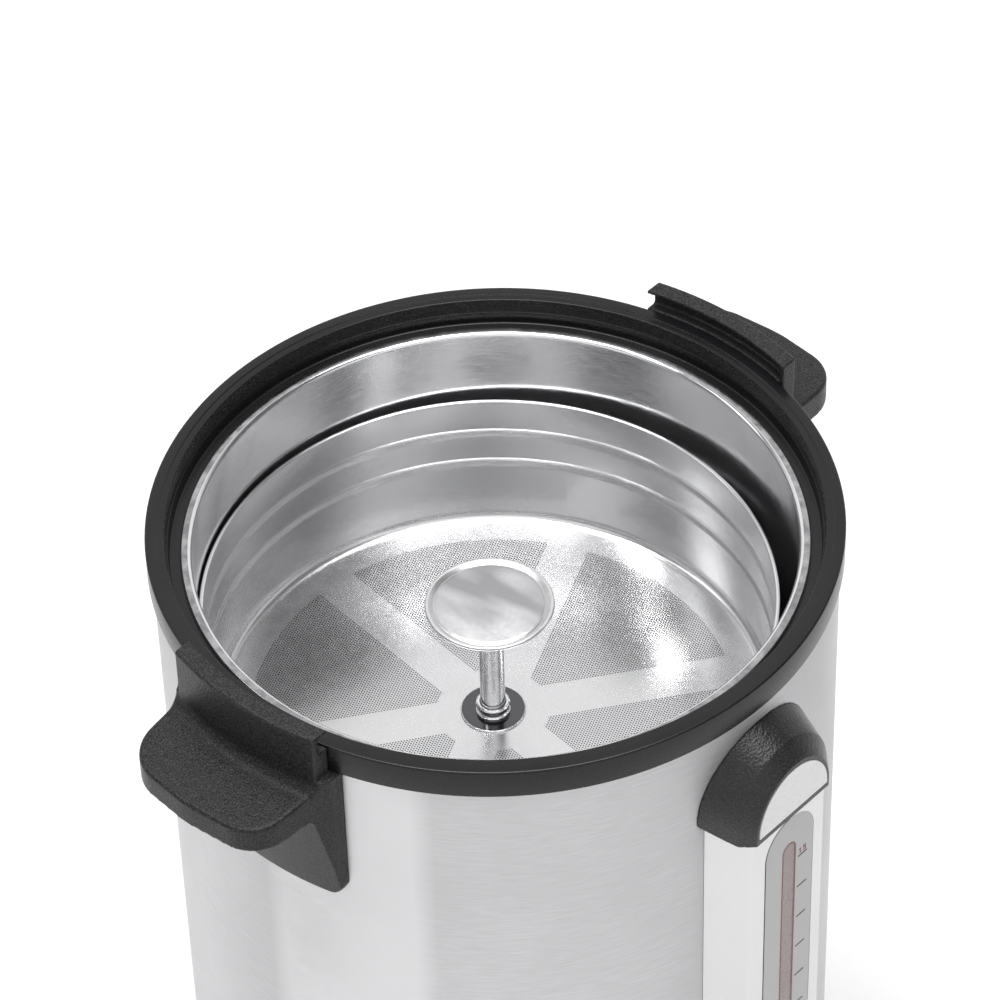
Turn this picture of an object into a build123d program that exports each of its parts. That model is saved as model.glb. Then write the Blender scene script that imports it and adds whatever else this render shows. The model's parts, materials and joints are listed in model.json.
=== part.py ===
from build123d import *
import math
import os

os.makedirs("parts", exist_ok=True)

# Double-wall percolator urn. Millimetres, +Z up, tap and gauge at -Y.
# The origin is the centre of the foot ring's underside.

# ---- Driving dimensions -------------------------------------------------------------------

# Sheet metal and clearances
sheet = 0.8  # stainless sheet of tank, shell and gauge column
slip = 0.15  # between curved faces of pieces fixed to each other
free = 0.3  # round pieces that move or lift out

# Tank
tank_radius = 130.5  # inside
tank_floor = 80.0  # inside, above the table
tank_corner = 12.0  # bend between wall and floor
flange_width = 4.2  # rolled top edge outside the wall
flange_height = 1.7
well_radius = 34.0  # heated well under the stem
well_depth = 8.0

# Shell round the tank
jacket = 15.9  # air gap between tank and shell
shell_bottom = 12.0
shell_flange = 21.0  # inturned bottom edge

# Rim collar
rim_top = 470.0
collar_depth = 12.7  # ledge below the top face
collar_gap = 4.7  # between the tank flange and the collar wall
collar_wall_slope = 1.5
collar_flat = 3.5  # inner, slightly lower ring of the top face
collar_flat_step = 0.35
collar_skirt = 1.85
skirt_depth = 14.0
ledge_thickness = 3.0
ledge_overhang = 2.2

# Stem, pump and basket: one insert that stands slightly off the urn's axis
insert_x = -2.6
insert_y = 2.4
stem_radius = 5.55
stem_wall = 0.6
cap_depth = 52.0  # spray cap below the rim
cap_radius = 28.4
basket_gap = 0.75  # least gap between the basket's rim and the tank
basket_lip = 1.7  # rolled rim outside the basket's wall
basket_sheet = 0.6
basket_rim_depth = 46.0  # below the collar's top face
basket_floor_depth = 118.0
basket_corner = 5.0
bead_depths = (65.4, 83.5)  # ribs in the basket wall, below the collar's top face
hub_radius = 14.7
hub_sleeve = 0.9

# Gauge column and its cap
column_front = 17.5  # front face outside the shell
column_half = 23.5  # half width at the front
column_foot_half = 31.5  # half width at the shell
cap_bottom_depth = 69.5  # lower edge of the cap below the rim
column_in_cap = 7.5  # column reaches this far into the cap
cap_wall = 2.4
window_half = 15.85
window_shoulder_depth = 88.0
window_top_depth = 72.0
slot_half = 3.8
slot_shoulder_depth = 92.2
window_foot = 20.0  # window ends this far above the column's lower edge
tube_radius = 4.5
tube_wall = 1.2

# Handles
handle_wall = 8.1  # upright wall outside the collar
wall_half = 39.5  # half length of the wall above the collar's skirt
lip_bottom = 8.5  # ceiling of the lid slot, above the collar's top face
lip_top = 10.2  # flat top of the wall
slot_depth = 4.7
slot_end = 37.0  # closed end of the lid slot
grip_drop = 20.0  # grip's top below the collar's top face
grip_slope = 3.0
grip_thickness = 12.0
grip_reach = 41.3  # beyond the collar
apron_drop = 89.5
apron_wall = 4.0

# Tap
tap_height = 112.0
shank_radius = 8.0
shank_bore = 5.0
tap_reach = 38.0  # valve axis outside the shell
chamber_radius = 9.0
chamber_wall = 3.0
spout_radius = 8.0
spout_bottom = 68.0
plunger_radius = 2.5
plunger_lift = 5.0

# Base
base_height = 45.0
foot_height = 6.0
base_shelf = 6.0
base_wall = 1.85
panel_half = 40.0  # flat pad of the controls
panel_proud = 7.0
inlet_pad_half = 26.0
inlet_proud = 4.0
switch_width = 27.0
switch_height = 17.0
switch_depth = 16.0
inlet_width = 27.0
inlet_height = 20.0
inlet_depth = 20.0
lamp_spread = 26.0
lamp_radius = 4.4
panel_fit = 0.2  # round switch, inlet and lamps in their cut-outs

# ---- Derived sizes ------------------------------------------------------------------------

tank_outer = tank_radius + sheet
flange_radius = tank_outer + flange_width
shell_inner = tank_outer + jacket
shell_radius = shell_inner + sheet
ledge = rim_top - collar_depth
collar_bore = flange_radius + collar_gap
collar_top_bore = collar_bore + collar_wall_slope
rim_radius = shell_radius + slip + collar_skirt
stem_pitch = rim_top - cap_depth
basket_floor = rim_top - basket_floor_depth
basket_rim = rim_top - basket_rim_depth
column_y = -(shell_radius + column_front)
column_top = rim_top - cap_bottom_depth + column_in_cap
cap_bottom = rim_top - cap_bottom_depth
tube_y = column_y + sheet + 1.0 + tube_radius + 1.7
valve_y = -(shell_radius + tap_reach)
column_bottom = tap_height + shank_radius + 8.0
insert_offset = math.hypot(insert_x, insert_y)
insert_plane = Plane((insert_x, insert_y, 0))
insert_axis = Axis((insert_x, insert_y, 0), (0, 0, 1))
insert_section = Plane(origin=(insert_x, insert_y, 0), x_dir=(1, 0, 0), z_dir=(0, -1, 0))


# ---- Helpers ------------------------------------------------------------------------------


def moved_sideways(points, distance):
    """Points of a polyline moved to its left by a distance, with mitred corners."""
    corners = [Vector(*point) for point in points]
    runs = [(end - start).normalized() for start, end in zip(corners, corners[1:])]
    normals = [Vector(-run.Y, run.X) for run in runs]
    moved = [corners[0] + normals[0] * distance]
    for corner, before, after in zip(corners[1:], normals, normals[1:]):
        moved.append(corner + (before + after) * (distance / (1 + before.dot(after))))
    moved.append(corners[-1] + normals[-1] * distance)
    return moved


def bent_sheet(points, radii, thickness):
    """Closed section of a bent sheet, from its mid line and the mid radius of each bend."""
    corners = [Vector(*point) for point in points]
    turns = []
    for start, middle, end in zip(corners, corners[1:], corners[2:]):
        turns.append(math.copysign(1, (middle - start).cross(end - middle).Z))
    sides = []
    with BuildLine(mode=Mode.PRIVATE) as outline:
        for distance in (thickness / 2, -thickness / 2):
            bends = [radius - turn * distance for radius, turn in zip(radii, turns)]
            sides.append(FilletPolyline(*moved_sideways(points, distance), radius=bends))
        for end in (0, 1):
            Line(sides[0] @ end, sides[1] @ end)
    return outline.edges()


def radial_plane(angle):
    """Upright plane through the urn's axis: local x points outward, local y up."""
    turn = math.radians(angle)
    outward = (math.cos(turn), math.sin(turn), 0)
    sideways = (math.sin(turn), -math.cos(turn), 0)
    return Plane(origin=(0, 0, 0), x_dir=outward, z_dir=sideways)


def facing_plane(angle, distance):
    """Upright plane square to a direction: local x runs sideways, local y up."""
    turn = math.radians(angle)
    outward = Vector(math.cos(turn), math.sin(turn), 0)
    sideways = (-math.sin(turn), math.cos(turn), 0)
    return Plane(origin=outward * distance, x_dir=sideways, z_dir=outward)


# ---- Tank ---------------------------------------------------------------------------------

tap_hole = shank_radius + slip + 0.25
mid = sheet / 2
well_bend = 3.0
flange_bend = 3.0
edge_bend = 0.9
tank_bends = [well_bend, well_bend, tank_corner, flange_bend, edge_bend]
tank_line = [
    (0, tank_floor - well_depth - mid),
    (well_radius + mid, tank_floor - well_depth - mid),
    (well_radius + mid, tank_floor - mid),
    (tank_radius + mid, tank_floor - mid),
    (tank_radius + mid, ledge + flange_height - mid),
    (flange_radius - mid, ledge + flange_height - mid),
    (flange_radius - mid, ledge),
]
with BuildPart() as tank:
    with BuildSketch(Plane.XZ):
        make_face(bent_sheet(tank_line, tank_bends, sheet))
    revolve(axis=Axis.Z)
    with BuildSketch(facing_plane(-90, tank_radius - flange_width)):
        with Locations((0, tap_height)):
            Circle(tap_hole)
    extrude(amount=flange_width * 2, mode=Mode.SUBTRACT)
tank.part.label = "tank"
export_step(tank.part, "parts/tank.step")

# ---- Outer shell --------------------------------------------------------------------------

channel_top = rim_top - 3.5
handle_screw_height = rim_top - 52.0
handle_screw_spread = 22.0
screw_radius = 2.0
screw_hole = screw_radius + 0.3
handle_screw_spots = [(end * handle_screw_spread, handle_screw_height) for end in (-1, 1)]
shell_line = [
    (shell_inner - shell_flange, shell_bottom + mid),
    (shell_radius - mid, shell_bottom + mid),
    (shell_radius - mid, channel_top),
]
base_screw_radius = shell_inner - 14.7
base_screw_count = 6
cutout_height = inlet_height + 6.0
with BuildPart() as outer_shell:
    with BuildSketch(Plane.XZ):
        make_face(bent_sheet(shell_line, [2.0], sheet))
    revolve(axis=Axis.Z)
    with BuildSketch(facing_plane(-90, shell_inner - 2)):
        with Locations((0, tap_height)):
            Circle(tap_hole)
    extrude(amount=4, mode=Mode.SUBTRACT)
    for facing in (0, 180):
        with BuildSketch(facing_plane(facing, shell_inner - 8)):
            with Locations(*handle_screw_spots):
                Circle(screw_hole)
        extrude(amount=12, mode=Mode.SUBTRACT)
    with BuildSketch(Plane.XY.offset(shell_bottom - 1)):
        with PolarLocations(base_screw_radius, base_screw_count):
            Circle(screw_hole)
    extrude(amount=3, mode=Mode.SUBTRACT)
    # Cut-outs behind the control panel and the mains inlet
    for facing, half_width in ((-90, lamp_spread + 8.0), (90, inlet_width / 2 + 5.5)):
        with BuildSketch(facing_plane(facing, shell_inner - 8)):
            with Locations((0, base_height / 2 + 5)):
                Rectangle(2 * half_width, cutout_height)
        extrude(amount=12, mode=Mode.SUBTRACT)
outer_shell.part.label = "outer_shell"
export_step(outer_shell.part, "parts/outer_shell.step")

# ---- Rim collar ---------------------------------------------------------------------------

inner_leg = shell_inner - 2.7  # collar wall inside the shell
top_edge = 0.8
with BuildPart() as rim_ring:
    with BuildSketch(Plane.XZ):
        with BuildLine():
            Polyline(
                (rim_radius, rim_top - skirt_depth),
                (rim_radius, rim_top - top_edge),
                (rim_radius - top_edge, rim_top),
                (collar_top_bore + collar_flat, rim_top),
                (collar_top_bore + collar_flat - collar_flat_step, rim_top - collar_flat_step),
                (collar_top_bore, rim_top - collar_flat_step),
                (collar_top_bore - 0.7, rim_top - 6.9),
                (collar_top_bore - 1.1, rim_top - 6.9),
                (collar_bore, ledge),
                (tank_outer + ledge_overhang, ledge),
                (tank_outer + ledge_overhang, ledge - ledge_thickness),
                (inner_leg, ledge - ledge_thickness),
                (inner_leg, channel_top),
                (shell_radius + slip, channel_top),
                (shell_radius + slip, rim_top - skirt_depth),
                close=True,
            )
        make_face()
    revolve(axis=Axis.Z)
rim_ring.part.label = "rim_ring"
export_step(rim_ring.part, "parts/rim_ring.step")

# ---- Percolator stem ----------------------------------------------------------------------

foot_radius = well_radius - well_bend - insert_offset
foot_bottom = tank_floor - well_depth + free
foot_collar_bottom = foot_bottom + 20.0
foot_collar = 12.0
stem_top = stem_pitch - 8.0
stop_radius = stem_radius + 2.2  # bead that carries the basket
hub_bottom = basket_floor - basket_sheet - 8.0
stop_top = hub_bottom - free
with BuildPart() as stem_tube:
    with BuildSketch(insert_section):
        with BuildLine():
            Polyline(
                (stem_radius - stem_wall, foot_collar_bottom),
                (stem_radius, foot_collar_bottom),
                (stem_radius, stop_top - 2.0),
                (stop_radius, stop_top - 1.2),
                (stop_radius, stop_top - 0.4),
                (stem_radius, stop_top),
                (stem_radius, stem_top),
                (stem_radius - stem_wall, stem_top),
                close=True,
            )
        make_face()
    revolve(axis=insert_axis)
stem_tube.part.label = "stem_tube"
export_step(stem_tube.part, "parts/stem_tube.step")

# ---- Pump foot: bell over the well ----------------------------------------------------------

collar_mid = stem_radius + slip + mid
bell_neck = 2.0
bell_shoulder = 12.0
bell_flare = 3.0
bell_line = [
    (collar_mid, foot_collar_bottom + foot_collar),
    (collar_mid, foot_collar_bottom - bell_neck),
    (foot_radius - mid - bell_flare, foot_bottom + bell_shoulder),
    (foot_radius - mid, foot_bottom),
]
notch_half = 3.0
notch_height = 2.5
with BuildPart() as pump_foot:
    with BuildSketch(insert_section):
        make_face(bent_sheet(bell_line, [3.0, 4.0], sheet))
    revolve(axis=insert_axis)
    with BuildSketch(insert_plane.offset(foot_bottom)):
        with PolarLocations(foot_radius, 6):
            Rectangle(3 * bell_flare, 2 * notch_half)
    extrude(amount=notch_height, mode=Mode.SUBTRACT)
pump_foot.part.label = "pump_foot"
export_step(pump_foot.part, "parts/pump_foot.step")

# Plate under the bell with the valve's port
port_radius = 6.0
seat_bottom = foot_bottom + 4.0
seat_thickness = 1.0
with BuildPart() as pump_seat:
    with BuildSketch(insert_plane.offset(seat_bottom)):
        Circle(foot_radius - sheet - 2.4)
        Circle(port_radius, mode=Mode.SUBTRACT)
    extrude(amount=seat_thickness)
    with BuildSketch(insert_plane.offset(seat_bottom - 1.2)):
        Circle(foot_radius - sheet - 2.4)
        Circle(foot_radius - sheet - 4.0, mode=Mode.SUBTRACT)
    extrude(amount=1.2)
pump_seat.part.label = "pump_seat"
export_step(pump_seat.part, "parts/pump_seat.step")

# Lift valve: a disc with a fluted guide in the port
valve_lift = 2.5
valve_bottom = seat_bottom + seat_thickness + 0.1
with BuildPart() as pump_valve:
    with BuildSketch(insert_plane.offset(valve_bottom)):
        Circle(port_radius + 3.5)
    extrude(amount=1.0)
    with BuildSketch(insert_plane.offset(valve_bottom - 4.0)):
        Circle(port_radius - free)
        with PolarLocations(port_radius, 4):
            Circle(2.2, mode=Mode.SUBTRACT)
    extrude(amount=4.0)
pump_valve.part.label = "pump_valve"
export_step(pump_valve.part, "parts/pump_valve.step")

# ---- Spray cap ------------------------------------------------------------------------------

plug_wall = 0.9
plug_radius = stem_radius - stem_wall - 0.08
plug_reach = 6.0
dish = 1.6  # height of the cap's shallow dome
rim_bead = 1.0
spray_window_width = 3.0
spray_window_height = 5.2
with BuildPart() as spray_cap:
    with BuildSketch(insert_section):
        with BuildLine():
            groove = cap_radius - 4.0
            crown = TangentArc((0, stem_pitch + dish), (groove, stem_pitch), tangent=(1, 0))
            lip = Polyline(
                crown @ 1,
                (groove + 0.6, stem_pitch - 0.2),
                (cap_radius - 1.6, stem_pitch + rim_bead),
                (cap_radius - 0.5, stem_pitch + rim_bead),
                (cap_radius, stem_pitch + rim_bead / 2),
                (cap_radius, stem_pitch - rim_bead / 2),
                (groove + 0.6, stem_pitch - rim_bead),
                (groove, stem_pitch - rim_bead),
            )
            under = TangentArc((0, stem_pitch + dish - rim_bead), lip @ 1, tangent=(1, 0))
            Line(under @ 0, crown @ 0)
        make_face()
    revolve(axis=insert_axis)
    with BuildSketch(insert_plane.offset(stem_top - plug_reach)):
        Circle(plug_radius)
        Circle(plug_radius - plug_wall, mode=Mode.SUBTRACT)
    extrude(amount=stem_pitch + dish / 2 - (stem_top - plug_reach))
    # Windows that let the coffee out between the stem and the cap
    with BuildSketch(insert_plane.offset(stem_top + 1.0)):
        Rectangle(3 * plug_radius, spray_window_width)
        Rectangle(spray_window_width, 3 * plug_radius)
    extrude(amount=spray_window_height, mode=Mode.SUBTRACT)
spray_cap.part.label = "spray_cap"
export_step(spray_cap.part, "parts/spray_cap.step")

# ---- Basket ---------------------------------------------------------------------------------

basket_mid = tank_radius - insert_offset - basket_gap - basket_lip
floor_mid = basket_floor - basket_sheet / 2
basket_line = [(stem_radius + hub_sleeve + 1.2, floor_mid), (basket_mid, floor_mid)]
basket_bends = [basket_corner]
rib_half = 2.6
rib_height = 1.2
for depth in reversed(bead_depths):
    for rise, bulge in ((-rib_half, 0), (0, rib_height), (rib_half, 0)):
        basket_line.append((basket_mid + bulge, rim_top - depth + rise))
        basket_bends.append(1.2)
basket_line += [
    (basket_mid, basket_rim - basket_sheet / 2),
    (basket_mid + basket_lip - basket_sheet / 2, basket_rim - basket_sheet / 2),
    (basket_mid + basket_lip - basket_sheet / 2, basket_rim - 2.4),
]
basket_bends += [0.6, 0.6]
with BuildPart() as basket:
    with BuildSketch(insert_section):
        make_face(bent_sheet(basket_line, basket_bends, basket_sheet))
    revolve(axis=insert_axis)
basket.part.label = "basket"
export_step(basket.part, "parts/basket.step")

# Hub: washer and flared sleeve clinched into the basket floor
sleeve_inner = stem_radius + free
sleeve_outer = sleeve_inner + hub_sleeve
clinch = 3.0
with BuildPart() as basket_hub:
    with BuildSketch(insert_section):
        with BuildLine():
            Polyline(
                (sleeve_inner, hub_bottom),
                (sleeve_outer, hub_bottom),
                (sleeve_outer, basket_floor - basket_sheet - 0.8),
                (sleeve_outer + clinch, basket_floor - basket_sheet - 0.8),
                (sleeve_outer + clinch, basket_floor - basket_sheet),
                (sleeve_outer, basket_floor - basket_sheet),
                (sleeve_outer, basket_floor),
                (hub_radius - 0.5, basket_floor),
                (hub_radius, basket_floor + 0.5),
                (hub_radius - 0.5, basket_floor + 1.0),
                (sleeve_outer + 0.3, basket_floor + 1.0),
                (sleeve_outer, basket_floor + 1.3),
                (sleeve_outer, basket_floor + 3.6),
                (sleeve_outer + 0.9, basket_floor + 4.4),
                (sleeve_outer + 0.9, basket_floor + 5.2),
                (sleeve_outer, basket_floor + 6.0),
                (sleeve_inner, basket_floor + 6.0),
                close=True,
            )
        make_face()
    revolve(axis=insert_axis)
basket_hub.part.label = "basket_hub"
export_step(basket_hub.part, "parts/basket_hub.step")

# ---- Handles --------------------------------------------------------------------------------

wall_inner = rim_radius + 0.3
wall_outer = wall_inner + handle_wall
grip_edge = rim_radius + grip_reach
grip_top = rim_top - grip_drop
grip_bottom = rim_top - grip_drop - grip_slope - grip_thickness
apron_inner = shell_radius + slip
apron_outer = apron_inner + apron_wall
apron_bottom = rim_top - apron_drop
wall_foot = rim_top - skirt_depth - 0.3
cove = 6.0
grip_round = 1.5
root = rim_radius - 12.0  # plan outlines start inside the shell
head_radius = 4.0  # pan-head screws from inside the shell into the handles
head_height = 2.6
screw_seat = math.sqrt(shell_inner**2 - (handle_screw_spread + head_radius) ** 2) - 0.1
handle_screw_tip = screw_seat + 9.0
handle_sweep = 24.0  # degrees to each side, more than the widest outline

for side, facing in (("right", 0), ("left", 180)):
    outward = Plane.XY.rotated((0, 0, facing))
    with BuildPart() as handle:
        # Side section turned about the urn's axis
        with BuildSketch(radial_plane(facing - handle_sweep)):
            with BuildLine():
                FilletPolyline(
                    (apron_inner, apron_bottom),
                    (apron_outer - 1.0, apron_bottom),
                    (wall_outer + 3.0, grip_bottom),
                    (grip_edge + 9.0, grip_bottom),
                    (grip_edge + 9.0, grip_top - grip_slope - 0.7),
                    (wall_outer, grip_top),
                    (wall_outer, rim_top + lip_top),
                    (wall_inner, rim_top + lip_top),
                    (wall_inner, wall_foot),
                    (apron_inner, wall_foot),
                    radius=[0, 2, 4, 0, 0, cove, 0.8, 0, 0, 0],
                    close=True,
                )
            make_face()
        revolve(axis=Axis.Z, revolution_arc=2 * handle_sweep)
        # Plan outline of the grip and the wall's ends
        with BuildSketch(outward.offset(apron_bottom - 1)):
            with BuildLine():
                FilletPolyline(
                    (root, 43.5),
                    (wall_inner - 1.8, 43.2),
                    (wall_outer, 39.2),
                    (grip_edge - 3.8, 37.6),
                    (grip_edge, 0),
                    (grip_edge - 3.4, -38.4),
                    (wall_outer + 0.8, -40.5),
                    (wall_inner + 1.2, -42.2),
                    (root, -53.5),
                    radius=[0, 2, 2, 18, 60, 21, 2, 1, 0],
                    close=True,
                )
            make_face()
        extrude(amount=apron_drop + lip_top + 2, mode=Mode.INTERSECT)
        # Straight ends of the wall, rounded lower corners of the apron
        with BuildSketch(facing_plane(facing, root)):
            with BuildLine():
                FilletPolyline(
                    (wall_half, rim_top + lip_top + 1),
                    (wall_half, wall_foot),
                    (43.6, wall_foot),
                    (43.6, apron_bottom),
                    (-48.0, apron_bottom),
                    (-52.9, wall_foot),
                    (-wall_half, wall_foot),
                    (-wall_half, rim_top + lip_top + 1),
                    radius=[0, 0, 0, 10, 10, 0, 0, 0],
                    close=True,
                )
            make_face()
        extrude(amount=grip_edge, mode=Mode.INTERSECT)
        # Rounded upper edge of the grip
        reach = outward.x_dir
        grip_face = handle.faces().filter_by(GeomType.CONE).sort_by(lambda face: face.center().dot(reach))[-1]
        grip_rim = grip_face.edges().filter_by(lambda edge: (edge @ 0.5).dot(reach) > wall_outer + cove / 2)
        fillet(grip_rim, grip_round)
        # Slot for the lid's bayonet tab, open inwards and at one end
        slot_start = math.degrees(math.asin(slot_end / wall_inner))
        with BuildSketch(radial_plane(facing - slot_start)):
            with Locations((wall_inner - 2, rim_top)):
                Rectangle(2 + slot_depth, lip_bottom, align=(Align.MIN, Align.MIN))
        revolve(axis=Axis.Z, revolution_arc=slot_start + handle_sweep, mode=Mode.SUBTRACT)
        # Screw holes
        with BuildSketch(facing_plane(facing, root)):
            with Locations(*handle_screw_spots):
                Circle(screw_radius + 0.1)
        extrude(amount=handle_screw_tip + 0.5 - root, mode=Mode.SUBTRACT)
    handle.part.label = f"{side}_handle"
    export_step(handle.part, f"parts/{side}_handle.step")

with BuildPart() as handle_screws:
    for facing in (0, 180):
        with BuildSketch(facing_plane(facing, screw_seat - head_height)):
            with Locations(*handle_screw_spots):
                Circle(head_radius)
        extrude(amount=head_height)
        with BuildSketch(facing_plane(facing, screw_seat)):
            with Locations(*handle_screw_spots):
                Circle(screw_radius)
        extrude(amount=handle_screw_tip - screw_seat)
handle_screws.part.label = "handle_screws"
export_step(handle_screws.part, "parts/handle_screws.step")

# ---- Gauge column ---------------------------------------------------------------------------

column_corner = 4.0
shell_edge_y = -math.sqrt(shell_radius**2 - column_foot_half**2)
buried = 12.0


def column_plan(inset, corner):
    """Plan of the column: a trapezoid that narrows away from the shell."""
    flare = (column_foot_half - column_half) / (shell_edge_y - column_y)
    back_half = column_foot_half + flare * buried
    with BuildLine(mode=Mode.PRIVATE) as outline:
        FilletPolyline(
            (-(back_half - inset), shell_edge_y + buried),
            (-(column_half - inset), column_y + inset),
            (column_half - inset, column_y + inset),
            (back_half - inset, shell_edge_y + buried),
            radius=[0, corner, corner, 0],
            close=True,
        )
    return outline.edges()


def arched_outline(half, bottom, shoulder, top):
    """Upright slot outline with a half-elliptic top, in the column's front plane."""
    with BuildLine(mode=Mode.PRIVATE) as outline:
        Polyline((half, shoulder), (half, bottom), (-half, bottom), (-half, shoulder))
        EllipticalCenterArc((0, shoulder), half, top - shoulder, arc_size=180)
    return outline.edges()


window_bottom = column_bottom + window_foot
window_shoulder = rim_top - window_shoulder_depth
window_top = rim_top - window_top_depth
window_fit = 0.1
boss_radius = tube_y - column_y - sheet - free  # tap boss round the gauge glass
with BuildPart() as gauge_column:
    with BuildSketch(Plane.XY.offset(column_bottom)):
        make_face(column_plan(0, column_corner))
    extrude(amount=column_top - column_bottom)
    with BuildSketch(Plane.XY.offset(column_bottom + sheet)):
        make_face(column_plan(sheet, column_corner - sheet))
    extrude(amount=column_top - column_bottom - 2 * sheet, mode=Mode.SUBTRACT)
    with BuildSketch(Plane.XY.offset(column_bottom - 1)):
        Circle(shell_radius + slip)
    extrude(amount=column_top - column_bottom + 2, mode=Mode.SUBTRACT)
    with BuildSketch(facing_plane(-90, -column_y - sheet - 1)):
        half, top = window_half + window_fit, window_top + window_fit
        make_face(arched_outline(half, window_bottom, window_shoulder, top))
    extrude(amount=2 * sheet + 1, mode=Mode.SUBTRACT)
    with BuildSketch(Plane.XY.offset(column_bottom - 1)):
        with Locations((0, tube_y)):
            Circle(boss_radius + slip)
    extrude(amount=2 * sheet + 1, mode=Mode.SUBTRACT)
gauge_column.part.label = "gauge_column"
export_step(gauge_column.part, "parts/gauge_column.step")

# Window plate: it fills the opening and laps behind the sheet
lap = 2.5
lap_thickness = 1.0
slot_shoulder = rim_top - slot_shoulder_depth
slot_bottom = window_bottom + 10.0
with BuildPart() as gauge_window:
    with BuildSketch(facing_plane(-90, -column_y - sheet - lap_thickness)):
        make_face(arched_outline(window_half + lap, window_bottom - lap, window_shoulder, window_top + lap))
    extrude(amount=lap_thickness)
    with BuildSketch(facing_plane(-90, -column_y - sheet)):
        make_face(arched_outline(window_half, window_bottom + window_fit, window_shoulder, window_top))
    extrude(amount=sheet - 0.1)
    with BuildSketch(facing_plane(-90, -column_y - sheet - lap_thickness - 1)):
        make_face(arched_outline(slot_half, slot_bottom, slot_shoulder, slot_shoulder + slot_half))
    extrude(amount=lap_thickness + sheet + 2, mode=Mode.SUBTRACT)
gauge_window.part.label = "gauge_window"
export_step(gauge_window.part, "parts/gauge_window.step")

# ---- Column cap -----------------------------------------------------------------------------

# Distance outside the shell, half width, height of the upright sides, apex below the rim
cap_back = (-6.0, 36.0, 8.0, 20.5)
cap_ridge = (13.5, 28.6, 8.0, 29.8)
cap_face = (column_front + 1.5, 23.7, 4.0, 38.5)
cap_rise = 8.5  # the lower edge climbs from the ridge to the shell


def cap_section(size, inset):
    """One upright section of the cap: straight sides under a half ellipse."""
    distance, half, upright, apex = size
    outline = arched_outline(half - inset, cap_bottom, cap_bottom + upright, rim_top - apex - inset)
    return facing_plane(-90, shell_radius + distance), outline


def cap_body(inset, front_inset):
    """Cap volume: back to ridge, and the bevel from the ridge to the front face."""
    ridge_plane, ridge = cap_section(cap_ridge, inset)
    back_plane, back = cap_section(cap_back, inset)
    face_plane, face = cap_section(cap_face, inset)
    face_plane = face_plane.offset(-front_inset)
    sections = [(back_plane, back), (ridge_plane.offset(-front_inset / 3), ridge), (face_plane, face)]
    faces = [plane * make_face(outline, mode=Mode.PRIVATE) for plane, outline in sections]
    return loft(faces[:2], mode=Mode.PRIVATE) + loft(faces[1:], mode=Mode.PRIVATE)


badge_half = 22.0
badge_bottom_depth = 66.0
badge_top_depth = 41.0
badge_recess = 0.5
badge_proud = 0.3
badge_fit = 0.15
column_cap_solid = cap_body(0, 0)
column_cap_hollow = cap_body(cap_wall, cap_wall)
with BuildPart() as column_cap:
    add(column_cap_solid)
    add(column_cap_hollow, mode=Mode.SUBTRACT)
    # Lower edge, climbing towards the shell
    with BuildSketch(facing_plane(0, -cap_back[1] - 1)):
        ridge_y, inside_y = -(shell_radius + cap_ridge[0] - 1.5), -(shell_radius - 13.0)
        with BuildLine():
            Polyline(
                (ridge_y, cap_bottom),
                (inside_y, cap_bottom + cap_rise),
                (inside_y, cap_bottom - 1),
                (ridge_y, cap_bottom - 1),
                close=True,
            )
        make_face()
    extrude(amount=2 * cap_back[1] + 2, mode=Mode.SUBTRACT)
    # Room for the column's top
    with BuildSketch(Plane.XY.offset(cap_bottom - 1)):
        make_face(column_plan(-0.2, column_corner))
    extrude(amount=column_in_cap + 1.2, mode=Mode.SUBTRACT)
    with BuildSketch(Plane.XY.offset(cap_bottom - 1)):
        Circle(shell_radius + slip)
    extrude(amount=cap_bottom_depth, mode=Mode.SUBTRACT)
    with BuildSketch(facing_plane(-90, shell_radius + cap_face[0] - badge_recess)):
        make_face(
            arched_outline(
                badge_half + badge_fit,
                rim_top - badge_bottom_depth - badge_fit,
                rim_top - badge_bottom_depth + 1,
                rim_top - badge_top_depth + badge_fit,
            )
        )
    extrude(amount=2, mode=Mode.SUBTRACT)
column_cap.part.label = "column_cap"
export_step(column_cap.part, "parts/column_cap.step")

with BuildPart() as cap_badge:
    with BuildSketch(facing_plane(-90, shell_radius + cap_face[0] - badge_recess)):
        make_face(
            arched_outline(
                badge_half,
                rim_top - badge_bottom_depth,
                rim_top - badge_bottom_depth + 1,
                rim_top - badge_top_depth,
            )
        )
    extrude(amount=badge_recess + badge_proud)
cap_badge.part.label = "cap_badge"
export_step(cap_badge.part, "parts/cap_badge.step")

# ---- Gauge glass ----------------------------------------------------------------------------

tube_bottom = tap_height + shank_radius + 3.0
tube_top = column_top - sheet - 5.0
with BuildPart() as sight_tube:
    with BuildSketch(Plane.XY.offset(tube_bottom)):
        with Locations((0, tube_y)):
            Circle(tube_radius)
            Circle(tube_radius - tube_wall, mode=Mode.SUBTRACT)
    extrude(amount=tube_top - tube_bottom)
sight_tube.part.label = "sight_tube"
export_step(sight_tube.part, "parts/sight_tube.step")

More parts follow.
